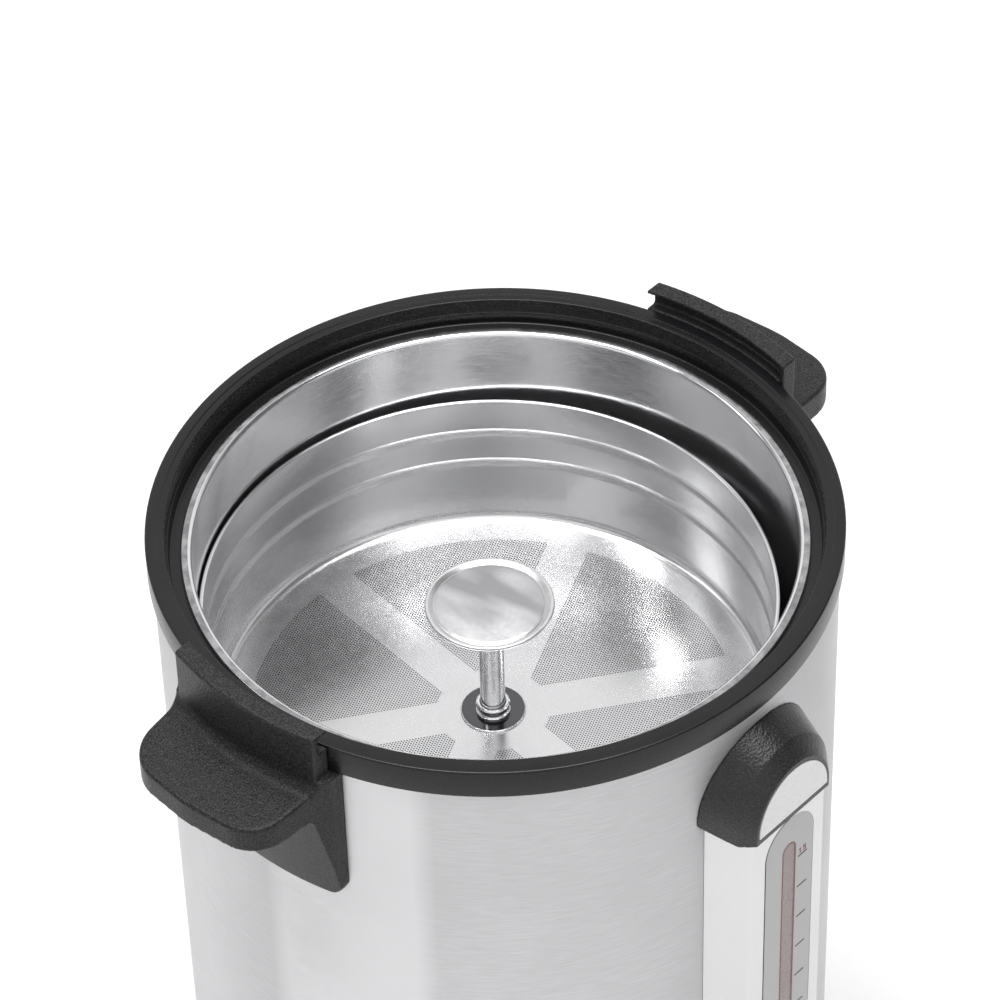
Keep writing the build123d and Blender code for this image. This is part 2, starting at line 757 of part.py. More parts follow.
seal_wall = 1.0
boss_top = column_bottom + 6.0
seal_height = boss_top - tube_bottom - 1.0
with BuildPart() as sight_tube_seals:
    with BuildSketch(Plane.XY.offset(boss_top - seal_height)):
        with Locations((0, tube_y)):
            Circle(tube_radius + 0.1 + seal_wall)
            Circle(tube_radius + 0.1, mode=Mode.SUBTRACT)
    extrude(amount=seal_height)
    # Upper seal, closed by the column's top plate
    with BuildSketch(Plane.XY.offset(tube_top - 5.0)):
        with Locations((0, tube_y)):
            Circle(tube_radius + 0.1 + seal_wall)
    extrude(amount=column_top - sheet - (tube_top - 5.0))
    with BuildSketch(Plane.XY.offset(tube_top - 5.0)):
        with Locations((0, tube_y)):
            Circle(tube_radius + 0.1)
    extrude(amount=5.0, mode=Mode.SUBTRACT)
sight_tube_seals.part.label = "sight_tube_seals"
export_step(sight_tube_seals.part, "parts/sight_tube_seals.step")

# ---- Tap ------------------------------------------------------------------------------------

chamber_outer = chamber_radius + chamber_wall
chamber_top = tap_height + 22.0
seat_height = tap_height - 12.0
nut_inner_end = tank_radius - 8.5
flange_out = 3.7
tap_flange = 13.0
outer_washer = 1.2
spout_bore = 5.0
with BuildPart() as tap_body:
    # Shank through both walls, with its flange outside the shell
    with BuildSketch(facing_plane(-90, nut_inner_end)):
        with Locations((0, tap_height)):
            Circle(shank_radius)
    extrude(amount=-valve_y - nut_inner_end)
    with BuildSketch(facing_plane(-90, shell_radius + outer_washer + 0.1)):
        with Locations((0, tap_height)):
            Circle(tap_flange)
    extrude(amount=flange_out)
    # Boss that carries the gauge glass
    with BuildSketch(Plane.XY.offset(tap_height)):
        with Locations((0, tube_y)):
            Circle(boss_radius)
    extrude(amount=boss_top - tap_height)
    # Valve chamber and spout
    with BuildSketch(Plane.XY.offset(seat_height - 4.0)):
        with Locations((0, valve_y)):
            Circle(chamber_outer)
    extrude(amount=chamber_top - seat_height + 4.0)
    with BuildSketch(Plane.XY.offset(spout_bottom)):
        with Locations((0, valve_y)):
            Circle(spout_radius)
    extrude(amount=seat_height - spout_bottom)
    # Bores
    with BuildSketch(facing_plane(-90, nut_inner_end - 1)):
        with Locations((0, tap_height)):
            Circle(shank_bore)
    extrude(amount=-valve_y - nut_inner_end + 1, mode=Mode.SUBTRACT)
    with BuildSketch(Plane.XY.offset(seat_height)):
        with Locations((0, valve_y)):
            Circle(chamber_radius)
    extrude(amount=chamber_top - seat_height, mode=Mode.SUBTRACT)
    with BuildSketch(Plane.XY.offset(spout_bottom - 1)):
        with Locations((0, valve_y)):
            Circle(spout_bore)
    extrude(amount=seat_height - spout_bottom + 2, mode=Mode.SUBTRACT)
    with BuildSketch(Plane.XY.offset(tap_height)):
        with Locations((0, tube_y)):
            Circle(tube_radius - tube_wall)
    extrude(amount=boss_top - tap_height, mode=Mode.SUBTRACT)
    with BuildSketch(Plane.XY.offset(tube_bottom - 0.1)):
        with Locations((0, tube_y)):
            Circle(tube_radius + 0.1 + seal_wall + 0.05)
    extrude(amount=boss_top - tube_bottom + 0.1, mode=Mode.SUBTRACT)
tap_body.part.label = "tap_body"
export_step(tap_body.part, "parts/tap_body.step")


def tap_ring(outer, inner, start, end):
    """Ring round the tap's shank between two distances from the urn's axis."""
    with BuildPart() as ring:
        with BuildSketch(facing_plane(-90, start)):
            with Locations((0, tap_height)):
                Circle(outer)
                Circle(inner, mode=Mode.SUBTRACT)
        extrude(amount=end - start)
    return ring.part


washer_bore = shank_radius + 0.1
spacer_radius = 12.5
with BuildPart() as tap_spacer:
    add(tap_ring(spacer_radius, washer_bore, tank_outer - 3, shell_radius))
    Cylinder(shell_inner - slip, 4 * tap_height, mode=Mode.INTERSECT)
    Cylinder(tank_outer + slip, 4 * tap_height, mode=Mode.SUBTRACT)
tap_spacer.part.label = "tap_spacer"
export_step(tap_spacer.part, "parts/tap_spacer.step")

inner_washer = 2.0
nut_seat = math.sqrt(tank_radius**2 - spacer_radius**2) - inner_washer
with BuildPart() as tap_seals:
    add(tap_ring(spacer_radius, washer_bore, shell_radius - 3, shell_radius + outer_washer + 0.1))
    Cylinder(shell_radius + slip, 4 * tap_height, mode=Mode.SUBTRACT)
inner_seal = tap_ring(spacer_radius, washer_bore, nut_seat, tank_radius + 1) & Cylinder(
    tank_radius - slip, 4 * tap_height
)
with tap_seals:
    add(inner_seal)
tap_seals.part.label = "tap_seals"
export_step(tap_seals.part, "parts/tap_seals.step")

nut_half = 12.0  # half of the nut's width across flats
with BuildPart() as tap_nut:
    with BuildSketch(facing_plane(-90, nut_inner_end + 1)):
        with Locations((0, tap_height)):
            RegularPolygon(nut_half, 6, major_radius=False)
            Circle(washer_bore, mode=Mode.SUBTRACT)
    extrude(amount=nut_seat - nut_inner_end - 1)
tap_nut.part.label = "tap_nut"
export_step(tap_nut.part, "parts/tap_nut.step")

# Bonnet with two ears for the lever's pin
bonnet_height = 12.0
bonnet_top = chamber_top + bonnet_height
pin_height = bonnet_top + 7.0
pin_radius = 1.5
ear_inner = 7.3
ear_width = 3.0
ear_radius = 5.0
ear_hole = pin_radius + 0.03
with BuildPart() as tap_bonnet:
    with BuildSketch(Plane.XY.offset(chamber_top)):
        with Locations((0, valve_y)):
            Circle(chamber_outer + 1.0)
    extrude(amount=bonnet_height)
    for end in (-1, 1):
        with BuildSketch(Plane.YZ.offset(end * (ear_inner + ear_width / 2))):
            with Locations((valve_y, pin_height)):
                Circle(ear_radius)
            with Locations((valve_y, (bonnet_top - 2 + pin_height) / 2)):
                Rectangle(2 * ear_radius, pin_height - bonnet_top + 2)
        extrude(amount=ear_width / 2, both=True)
    with BuildSketch(Plane.XY.offset(chamber_top)):
        with Locations((0, valve_y)):
            Circle(plunger_radius + 0.1)
    extrude(amount=bonnet_height, mode=Mode.SUBTRACT)
    with BuildSketch(Plane.YZ):
        with Locations((valve_y, pin_height)):
            Circle(ear_hole)
    extrude(amount=2 * chamber_outer, both=True, mode=Mode.SUBTRACT)
tap_bonnet.part.label = "tap_bonnet"
export_step(tap_bonnet.part, "parts/tap_bonnet.step")

with BuildPart() as lever_pin:
    with BuildSketch(Plane.YZ):
        with Locations((valve_y, pin_height)):
            Circle(pin_radius)
    extrude(amount=ear_inner + ear_width, both=True)
lever_pin.part.label = "lever_pin"
export_step(lever_pin.part, "parts/lever_pin.step")

# Plunger: a rod whose slotted top rides on the lever's pin
seat_gap = 0.2
cup_height = 6.0
cup_radius = 7.0
blade_half = 2.2
slot_play = 0.2
with BuildPart() as tap_plunger:
    with BuildSketch(Plane.XY.offset(seat_height + seat_gap + cup_height)):
        with Locations((0, valve_y)):
            Circle(cup_radius)
    extrude(amount=1.5)
    with BuildSketch(Plane.XY.offset(seat_height + seat_gap + 2.0)):
        with Locations((0, valve_y)):
            Circle(plunger_radius)
    extrude(amount=pin_height + 4.0 - seat_height - seat_gap - 2.0)
    with BuildSketch(Plane.YZ):
        with Locations((valve_y, pin_height - plunger_lift / 2)):
            Rectangle(2 * (pin_radius + slot_play), plunger_lift + 2 * (pin_radius + slot_play))
    extrude(amount=plunger_radius + 1, both=True, mode=Mode.SUBTRACT)
tap_plunger.part.label = "tap_plunger"
export_step(tap_plunger.part, "parts/tap_plunger.step")

with BuildPart() as seat_cup:
    with BuildSketch(Plane.XY.offset(seat_height + seat_gap)):
        with Locations((0, valve_y)):
            Circle(cup_radius)
    extrude(amount=cup_height)
    with BuildSketch(Plane.XY.offset(seat_height + seat_gap + 2.0)):
        with Locations((0, valve_y)):
            Circle(plunger_radius + 0.05)
    extrude(amount=cup_height, mode=Mode.SUBTRACT)
seat_cup.part.label = "seat_cup"
export_step(seat_cup.part, "parts/seat_cup.step")

# Closing spring between the plunger's collar and the bonnet
spring_wire = 0.5
spring_radius = 5.0
spring_turns = 5
spring_bottom = seat_height + seat_gap + cup_height + 1.5 + spring_wire + 0.1
spring_height = chamber_top - spring_wire - 0.1 - spring_bottom
spring_plane = Plane((0, valve_y, spring_bottom))
with BuildPart() as tap_spring:
    with BuildLine(spring_plane):
        coil = Helix(spring_height / spring_turns, spring_height, spring_radius)
    with BuildSketch(Plane(origin=coil @ 0, z_dir=coil % 0)):
        Circle(spring_wire)
    sweep(path=coil.edge(), is_frenet=True)
tap_spring.part.label = "tap_spring"
export_step(tap_spring.part, "parts/tap_spring.step")

# Lever: two cheeks on the pin under a paddle
cheek_inner = plunger_radius + 0.8
cheek_outer = ear_inner - free
hub_outer = 4.6
web_start = 12.0
paddle_length = 46.0
paddle_half = 9.0
paddle_thickness = 6.0
with BuildPart() as tap_lever:
    with BuildSketch(Plane.YZ):
        with Locations((valve_y, pin_height)):
            Circle(hub_outer)
        with Locations((valve_y, pin_height + web_start / 2 + 1)):
            Rectangle(2 * hub_outer - 1.2, web_start + 2)
    extrude(amount=cheek_outer, both=True)
    with BuildSketch(Plane.YZ):
        with Locations((valve_y, pin_height + (web_start - hub_outer) / 2)):
            Rectangle(4 * hub_outer, web_start + hub_outer)
    extrude(amount=cheek_inner, both=True, mode=Mode.SUBTRACT)
    with BuildSketch(Plane.XZ.offset(-valve_y - paddle_thickness / 2)):
        with BuildLine():
            FilletPolyline(
                (-cheek_outer, pin_height + web_start),
                (cheek_outer, pin_height + web_start),
                (paddle_half, pin_height + web_start + 12),
                (paddle_half, pin_height + paddle_length),
                (-paddle_half, pin_height + paddle_length),
                (-paddle_half, pin_height + web_start + 12),
                radius=[0, 0, 6, 7, 7, 6],
                close=True,
            )
        make_face()
    extrude(amount=paddle_thickness)
    with BuildSketch(Plane.YZ):
        with Locations((valve_y, pin_height)):
            Circle(pin_radius + 0.05)
    extrude(amount=cheek_outer + 1, both=True, mode=Mode.SUBTRACT)
tap_lever.part.label = "tap_lever"
export_step(tap_lever.part, "parts/tap_lever.step")

# ---- Base -----------------------------------------------------------------------------------

base_inner = shell_radius + slip
base_radius = base_inner + base_wall
shelf_top = shell_bottom
shelf_bottom = shell_bottom - base_shelf
shelf_inner = base_screw_radius - 9.0
foot_width = 8.0
foot_outer = base_radius - 2.0
panel_front = base_radius + panel_proud
pad_top = base_height - 1.5
pad_bottom = shelf_bottom + 3.0
inlet_front = base_radius + inlet_proud
control_height = base_height / 2 + 5.0
with BuildPart() as base_ring:
    with BuildSketch(Plane.XZ):
        with BuildLine():
            Polyline(
                (shelf_inner, shelf_bottom),
                (base_radius - 2.5, shelf_bottom),
                (base_radius, shelf_bottom + 2.5),
                (base_radius, base_height - 1.0),
                (base_radius - 1.0, base_height),
                (base_inner, base_height),
                (base_inner, shelf_top),
                (shelf_inner, shelf_top),
                close=True,
            )
        make_face()
    revolve(axis=Axis.Z)
    # Flat pads for the controls and for the mains inlet
    for facing, half, front in ((-90, panel_half, panel_front), (90, inlet_pad_half, inlet_front)):
        pad_depth = front - math.sqrt(base_inner**2 - half**2) + 1.0
        with BuildSketch(facing_plane(facing, front)):
            with Locations((0, (pad_top + pad_bottom) / 2)):
                RectangleRounded(2 * half, pad_top - pad_bottom, 5.0)
        extrude(amount=-pad_depth)
    with BuildSketch(Plane.XY.offset(shelf_top)):
        Circle(base_inner)
    extrude(amount=base_height, mode=Mode.SUBTRACT)
    # Cut-outs for switch, lamps and inlet
    with BuildSketch(facing_plane(-90, shell_inner - 8)):
        with Locations((0, control_height)):
            Rectangle(switch_width + 2 * panel_fit, switch_height + 2 * panel_fit)
        with Locations((-lamp_spread, control_height), (lamp_spread, control_height)):
            Circle(lamp_radius + panel_fit)
    extrude(amount=panel_front - shell_inner + 9, mode=Mode.SUBTRACT)
    with BuildSketch(facing_plane(90, shell_inner - 8)):
        with Locations((0, control_height)):
            Rectangle(inlet_width + 2 * panel_fit, inlet_height + 2 * panel_fit)
    extrude(amount=inlet_front - shell_inner + 9, mode=Mode.SUBTRACT)
    with BuildSketch(Plane.XY.offset(shelf_bottom - 1)):
        with PolarLocations(base_screw_radius, base_screw_count):
            Circle(screw_hole)
    extrude(amount=base_shelf + 2, mode=Mode.SUBTRACT)
base_ring.part.label = "base_ring"
export_step(base_ring.part, "parts/base_ring.step")

with BuildPart() as foot_ring:
    with BuildSketch(Plane.XY):
        Circle(foot_outer - 1.0)
        Circle(foot_outer - foot_width, mode=Mode.SUBTRACT)
    extrude(amount=foot_height)
foot_ring.part.label = "foot_ring"
export_step(foot_ring.part, "parts/foot_ring.step")

plate_thickness = 1.0
plate_bottom = shell_bottom + sheet
plate_radius = base_screw_radius + 6.0
with BuildPart() as bottom_plate:
    with BuildSketch(Plane.XY.offset(plate_bottom)):
        Circle(plate_radius)
        with PolarLocations(base_screw_radius, base_screw_count):
            Circle(screw_hole, mode=Mode.SUBTRACT)
        with PolarLocations(plate_radius - 40, 24):
            SlotOverall(22, 4, mode=Mode.SUBTRACT)
    extrude(amount=plate_thickness)
bottom_plate.part.label = "bottom_plate"
export_step(bottom_plate.part, "parts/bottom_plate.step")

base_head = 2.4
base_nut = 3.2
plate_top = plate_bottom + plate_thickness
with BuildPart() as base_screws:
    with BuildSketch(Plane.XY.offset(shelf_bottom - base_head)):
        with PolarLocations(base_screw_radius, base_screw_count):
            Circle(head_radius)
    extrude(amount=base_head)
    with BuildSketch(Plane.XY.offset(shelf_bottom)):
        with PolarLocations(base_screw_radius, base_screw_count):
            Circle(screw_radius)
    extrude(amount=plate_top + base_nut + 1.0 - shelf_bottom)
base_screws.part.label = "base_screws"
export_step(base_screws.part, "parts/base_screws.step")

with BuildPart() as base_nuts:
    with BuildSketch(Plane.XY.offset(plate_top)):
        with PolarLocations(base_screw_radius, base_screw_count):
            RegularPolygon(3.5, 6, major_radius=False)
            Circle(screw_radius + 0.08, mode=Mode.SUBTRACT)
    extrude(amount=base_nut)
base_nuts.part.label = "base_nuts"
export_step(base_nuts.part, "parts/base_nuts.step")

# ---- Heater under the well --------------------------------------------------------------------

well_under = tank_floor - well_depth - sheet
plate_drop = 4.0
heater_radius = well_radius - 3.0
stud_radius = 3.0
element_radius = 21.0
element_tube = 3.4
element_gap = 40.0  # degrees between its two ends
clamp_thickness = 1.5
clamp_half = 7.0
clamp_overhang = 5.0
cold_end = 16.0
element_end = element_tube - 0.6
element_height = well_under - plate_drop - element_tube
clamp_top = element_height - element_tube
clamp_bottom = clamp_top - clamp_thickness
with BuildPart() as heater_plate:
    with BuildSketch(Plane.XY.offset(well_under - plate_drop)):
        Circle(heater_radius)
    extrude(amount=plate_drop)
    with BuildSketch(Plane.XY.offset(clamp_bottom - 8.0)):
        Circle(stud_radius)
    extrude(amount=well_under - clamp_bottom + 8.0 - 1.0)
heater_plate.part.label = "heater_plate"
export_step(heater_plate.part, "parts/heater_plate.step")

with BuildPart() as heating_element:
    with BuildSketch(radial_plane(-90 + element_gap / 2)):
        with Locations((element_radius, element_height)):
            Circle(element_tube)
    revolve(axis=Axis.Z, revolution_arc=360 - element_gap)
    # Cold ends turned down to the terminals
    for end in (-1, 1):
        turn = math.radians(-90 + end * element_gap / 2)
        with BuildSketch(Plane.XY.offset(element_height - cold_end)):
            with Locations((element_radius * math.cos(turn), element_radius * math.sin(turn))):
                Circle(element_end)
        extrude(amount=cold_end)
heating_element.part.label = "heating_element"
export_step(heating_element.part, "parts/heating_element.step")

with BuildPart() as heater_clamp:
    with BuildSketch(Plane.XY.offset(clamp_bottom)):
        RectangleRounded(2 * (element_radius + clamp_overhang), 2 * clamp_half, 4)
        Circle(stud_radius + 0.15, mode=Mode.SUBTRACT)
    extrude(amount=clamp_thickness)
heater_clamp.part.label = "heater_clamp"
export_step(heater_clamp.part, "parts/heater_clamp.step")

with BuildPart() as clamp_nut:
    with BuildSketch(Plane.XY.offset(clamp_bottom - 5.0)):
        RegularPolygon(5.0, 6, major_radius=False)
        Circle(stud_radius + 0.1, mode=Mode.SUBTRACT)
    extrude(amount=5.0)
clamp_nut.part.label = "clamp_nut"
export_step(clamp_nut.part, "parts/clamp_nut.step")

# ---- Thermostats on the tank floor --------------------------------------------------------------

floor_under = tank_floor - sheet
disc_radius = 8.2
disc_height = 7.0
thermostat_radius = well_radius + 26.0
blade = (0.8, 4.8, 7.0)
with BuildPart() as brew_thermostat:
    with BuildSketch(Plane.XY.offset(floor_under - disc_height)):
        with Locations((thermostat_radius, 0)):
            Circle(disc_radius)
    extrude(amount=disc_height)
    with BuildSketch(Plane.XY.offset(floor_under - 1.0)):
        with Locations((thermostat_radius, 0)):
            SlotOverall(32, 10)
    extrude(amount=1.0)
    with BuildSketch(Plane.XY.offset(floor_under - disc_height - blade[2])):
        with Locations((thermostat_radius - 4, 0), (thermostat_radius + 4, 0)):
            Rectangle(blade[0], blade[1])
    extrude(amount=blade[2])
brew_thermostat.part.label = "brew_thermostat"
export_step(brew_thermostat.part, "parts/brew_thermostat.step")

with BuildPart() as boil_dry_cutout:
    with BuildSketch(Plane.XY.offset(floor_under - disc_height)):
        with Locations((-thermostat_radius, 0)):
            Circle(disc_radius)
    extrude(amount=disc_height)
    with BuildSketch(Plane.XY.offset(floor_under - 1.0)):
        with Locations((-thermostat_radius, 0)):
            SlotOverall(32, 10)
    extrude(amount=1.0)
    with BuildSketch(Plane.XY.offset(floor_under - disc_height - blade[2])):
        with Locations((-thermostat_radius - 4, 0), (-thermostat_radius + 4, 0)):
            Rectangle(blade[0], blade[1])
    extrude(amount=blade[2])
    with BuildSketch(Plane.XY.offset(floor_under - disc_height - 2.0)):
        with Locations((-thermostat_radius, 0)):
            Circle(1.6)
    extrude(amount=2.0)
boil_dry_cutout.part.label = "boil_dry_cutout"
export_step(boil_dry_cutout.part, "parts/boil_dry_cutout.step")

# ---- Terminal block on the bottom plate -----------------------------------------------------------

block_y = 70.0
block_size = (38.0, 18.0, 15.0)
with BuildPart() as terminal_block:
    with BuildSketch(Plane.XY.offset(plate_top)):
        with Locations((0, block_y)):
            Rectangle(block_size[0], block_size[1])
    extrude(amount=block_size[2])
    with BuildSketch(Plane.XY.offset(plate_top + 6.0)):
        with Locations((-12, block_y), (0, block_y), (12, block_y)):
            Rectangle(6.0, block_size[1] - 6.0)
    extrude(amount=block_size[2], mode=Mode.SUBTRACT)
terminal_block.part.label = "terminal_block"
export_step(terminal_block.part, "parts/terminal_block.step")

# ---- Power switch ---------------------------------------------------------------------------------

rocker_half = 9.0
rocker_tilt = 10.0  # degrees to each side of centre
rocker_height = 11.6
pivot_out = panel_front - 1.4
pocket_half = 10.6
pocket_height = rocker_height + 0.8
pocket_depth = 9.0
trunnion_radius = 1.2
bezel = 2.0
bezel_thickness = 1.6
terminal_reach = 8.0
terminal_spacing = 8.0
rocker_plane = Plane((0, -pivot_out, control_height - rocker_height / 2))
with BuildPart() as switch_housing:
    with BuildSketch(facing_plane(-90, panel_front)):
        with Locations((0, control_height)):
            RectangleRounded(switch_width + 2 * bezel, switch_height + 2 * bezel, 2)
    extrude(amount=bezel_thickness)
    with BuildSketch(facing_plane(-90, panel_front)):
        with Locations((0, control_height)):
            Rectangle(switch_width, switch_height)
    extrude(amount=-switch_depth)
    with BuildSketch(facing_plane(-90, panel_front + 2)):
        with Locations((0, control_height)):
            Rectangle(2 * pocket_half, pocket_height)
    extrude(amount=-pocket_depth - 2, mode=Mode.SUBTRACT)
    with BuildSketch(Plane.XY.offset(control_height - rocker_height / 2 - 2.0)):
        with Locations((0, -pivot_out)):
            Circle(trunnion_radius + 0.06)
    extrude(amount=rocker_height + 4.0, mode=Mode.SUBTRACT)
    with BuildSketch(facing_plane(-90, panel_front - switch_depth)):
        with Locations(*[(x, control_height) for x in (-terminal_spacing, 0, terminal_spacing)]):
            Rectangle(0.8, 6.3)
    extrude(amount=-terminal_reach)
switch_housing.part.label = "switch_housing"
export_step(switch_housing.part, "parts/switch_housing.step")

with BuildPart() as power_rocker:
    with BuildSketch(rocker_plane.rotated((0, 0, -rocker_tilt))):
        with BuildLine():
            Polyline(
                (-rocker_half, -4.2),
                (0, -3.0),
                (rocker_half, -4.2),
                (rocker_half - 0.8, 1.5),
                (0, 4.0),
                (0.8 - rocker_half, 1.5),
                close=True,
            )
        make_face()
    extrude(amount=rocker_height)
    with BuildSketch(Plane.XY.offset(control_height - rocker_height / 2 - 1.8)):
        with Locations((0, -pivot_out)):
            Circle(trunnion_radius)
    extrude(amount=rocker_height + 3.6)
power_rocker.part.label = "power_rocker"
export_step(power_rocker.part, "parts/power_rocker.step")

# ---- Indicator lamps --------------------------------------------------------------------------------

lamp_depth = 12.0
lamp_flange = 1.2
for name, lamp_x in (("heating_lamp", -lamp_spread), ("warm_lamp", lamp_spread)):
    with BuildPart() as lamp:
        with BuildSketch(facing_plane(-90, panel_front - lamp_depth)):
            with Locations((lamp_x, control_height)):
                Circle(lamp_radius)
        extrude(amount=lamp_depth)
        with BuildSketch(facing_plane(-90, panel_front)):
            with Locations((lamp_x, control_height)):
                Circle(lamp_radius + lamp_flange)
        extrude(amount=1.0)
        with BuildSketch(facing_plane(-90, panel_front + 1.0)):
            with Locations((lamp_x, control_height)):
                Circle(lamp_radius - 0.2)
        extrude(amount=1.4, taper=30)
    lamp.part.label = name
    export_step(lamp.part, f"parts/{name}.step")

# ---- Mains inlet --------------------------------------------------------------------------------------

inlet_wall = 1.6
inlet_flange = 2.5
inlet_ear = 9.5
socket_floor = 4.0
with BuildPart() as mains_inlet:
    with BuildSketch(facing_plane(90, inlet_front)):
        with Locations((0, control_height)):
            RectangleRounded(inlet_width + 2 * inlet_ear, inlet_height + 4.0, 3)
    extrude(amount=inlet_flange)
    with BuildSketch(facing_plane(90, inlet_front)):
        with Locations((0, control_height)):
            Rectangle(inlet_width, inlet_height)
    extrude(amount=-inlet_depth)
    with BuildSketch(facing_plane(90, inlet_front + inlet_flange)):
        with Locations((0, control_height)):
            RectangleRounded(inlet_width - 2 * inlet_wall, inlet_height - 2 * inlet_wall, 2)
    extrude(amount=-(inlet_depth + inlet_flange - socket_floor), mode=Mode.SUBTRACT)
mains_inlet.part.label = "mains_inlet"
export_step(mains_inlet.part, "parts/mains_inlet.step")

pin_spots = ((-7.0, -2.0), (0.0, 2.0), (7.0, -2.0))
pin_start = inlet_front - inlet_depth + socket_floor
with BuildPart() as inlet_pins:
    with BuildSketch(facing_plane(90, pin_start)):
        with Locations(*[(x, control_height + rise) for x, rise in pin_spots]):
            Rectangle(2.0, 4.0)
    extrude(amount=12.0)
inlet_pins.part.label = "inlet_pins"
export_step(inlet_pins.part, "parts/inlet_pins.step")

# ---- Internal leads -------------------------------------------------------------------------------------

lead_radius = 1.3
well_of_block = plate_top + 6.2  # leads end in the block's pockets
over_block = plate_top + block_size[2] + 15.0
back_row = block_y + 3.5
front_row = block_y - 3.5
inlet_back = inlet_front - inlet_depth
switch_back = terminal_reach + switch_depth - panel_front
blade_end = floor_under - disc_height - blade[2]
terminal_height = element_height - cold_end
end_x = element_radius * math.sin(math.radians(element_gap / 2))
end_y = -element_radius * math.cos(math.radians(element_gap / 2))
lead_routes = []
for end in (-1, 1):
    # Inlet to terminal block, and thermostats to the heating element
    lead_routes.append(
        (
            [
                (end * 7, inlet_back, control_height - 2),
                (end * 7, inlet_back - 22, control_height - 2),
                (end * 12, back_row + 18, over_block),
                (end * 12, back_row, over_block),
                (end * 12, back_row, well_of_block),
            ],
            [10, 8, 6],
        )
    )
    lead_routes.append(
        (
            [
                (end * (thermostat_radius - 4), 0, blade_end),
                (end * (thermostat_radius - 4), 0, blade_end - 17),
                (end * 30, -30, terminal_height - 6),
                (end * end_x, end_y, terminal_height - 12),
                (end * end_x, end_y, terminal_height),
            ],
            [6, 8, 3.5],
        )
    )
# Terminal block to switch
lead_routes.append(
    (
        [
            (-12, front_row, well_of_block),
            (-12, front_row, over_block),
            (-20, front_row - 26, over_block),
            (-40, -60, control_height - 3),
            (-terminal_spacing, switch_back + 23, control_height),
            (-terminal_spacing, switch_back, control_height),
        ],
        [6, 12, 20, 12],
    )
)
# Switch to the boil-dry cut-out
lead_routes.append(
    (
        [
            (terminal_spacing, switch_back, control_height),
            (terminal_spacing, switch_back + 18, control_height),
            (terminal_spacing, switch_back + 38, blade_end - 19),
            (-thermostat_radius - 4, -40, blade_end - 15),
            (-thermostat_radius - 4, 0, blade_end - 15),
            (-thermostat_radius - 4, 0, blade_end),
        ],
        [8, 8, 15, 7],
    )
)
# Brew thermostat back to the terminal block
lead_routes.append(
    (
        [
            (thermostat_radius + 4, 0, blade_end),
            (thermostat_radius + 4, 0, blade_end - 19),
            (40, 50, over_block),
            (12, front_row, over_block),
            (12, front_row, well_of_block),
        ],
        [8, 8, 6],
    )
)
with BuildPart() as leads:
    for points, bends in lead_routes:
        with BuildLine() as route:
            FilletPolyline(*points, radius=bends)
        with BuildSketch(Plane(origin=route.line @ 0, z_dir=route.line % 0)):
            Circle(lead_radius)
        sweep(path=route.line)
leads.part.label = "leads"
export_step(leads.part, "parts/leads.step")
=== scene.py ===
import bpy
import bmesh
import json
import math
from mathutils import Matrix, Vector


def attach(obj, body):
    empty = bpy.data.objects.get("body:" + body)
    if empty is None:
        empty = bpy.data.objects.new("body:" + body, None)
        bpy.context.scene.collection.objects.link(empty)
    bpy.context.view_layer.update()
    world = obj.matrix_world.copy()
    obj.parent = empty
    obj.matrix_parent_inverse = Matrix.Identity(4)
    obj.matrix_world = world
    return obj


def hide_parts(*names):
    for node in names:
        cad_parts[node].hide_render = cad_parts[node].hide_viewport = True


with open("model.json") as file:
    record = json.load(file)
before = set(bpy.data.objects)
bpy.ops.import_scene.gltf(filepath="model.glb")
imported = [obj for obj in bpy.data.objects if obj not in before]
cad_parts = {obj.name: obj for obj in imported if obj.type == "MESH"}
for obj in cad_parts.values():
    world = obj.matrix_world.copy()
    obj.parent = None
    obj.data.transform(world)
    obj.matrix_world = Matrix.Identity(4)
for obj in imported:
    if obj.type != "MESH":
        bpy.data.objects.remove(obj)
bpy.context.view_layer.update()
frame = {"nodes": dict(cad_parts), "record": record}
cad = frame["nodes"]

# Sections, heights and marks are given in millimetres, as in the part's source; MM brings them to
# Blender's metres.
MM = 0.001
INSERT = (-2.6 * MM, 2.4 * MM)  # axis of stem, basket and spray cap


def outward(azimuth, elevation):
    """Unit vector out of the urn; azimuth 0 is its front."""
    level = math.cos(elevation)
    return Vector((math.sin(azimuth) * level, -math.cos(azimuth) * level, math.sin(elevation)))


def add_object(name, data):
    """New object, linked to the scene."""
    thing = bpy.data.objects.new(name, data)
    bpy.context.scene.collection.objects.link(thing)
    return thing


# ---- Camera, fitted to the photograph -----------------------------------------------------------

AZIMUTH = math.radians(-46.5)
ELEVATION = math.radians(43.7616)
ROLL = math.radians(-1.9061)
TILT = 0.003622
YAW = 0.0012086
DISTANCE = 2.0266
AIMED_AT = Vector((0, 0, 0.470))
LENS = 170.57
SENSOR = 36
FAR = 50

to_camera = outward(AZIMUTH, ELEVATION)
forward = -to_camera
right = Vector((math.cos(AZIMUTH), math.sin(AZIMUTH), 0))
up = right.cross(forward)
forward = forward * math.cos(TILT) + up * math.sin(TILT)
up = right.cross(forward)
forward = forward * math.cos(YAW) + right * math.sin(YAW)
right = forward.cross(up)
camera_x = right * math.cos(ROLL) + up * math.sin(ROLL)
camera_y = camera_x.cross(forward)

camera_data = bpy.data.cameras.new("camera")
camera_data.sensor_fit = "HORIZONTAL"
camera_data.sensor_width = SENSOR
camera_data.lens = LENS
camera_data.clip_end = FAR
camera = add_object("camera", camera_data)
camera_place = Matrix((camera_x, camera_y, -forward)).transposed().to_4x4()
camera_place.translation = to_camera * DISTANCE + AIMED_AT
camera.matrix_world = camera_place
bpy.context.scene.camera = camera

# ---- Materials ----------------------------------------------------------------------------------

NOISE_LOW, NOISE_HIGH = 0.3, 0.7  # nearly all of a noise texture lies between these values


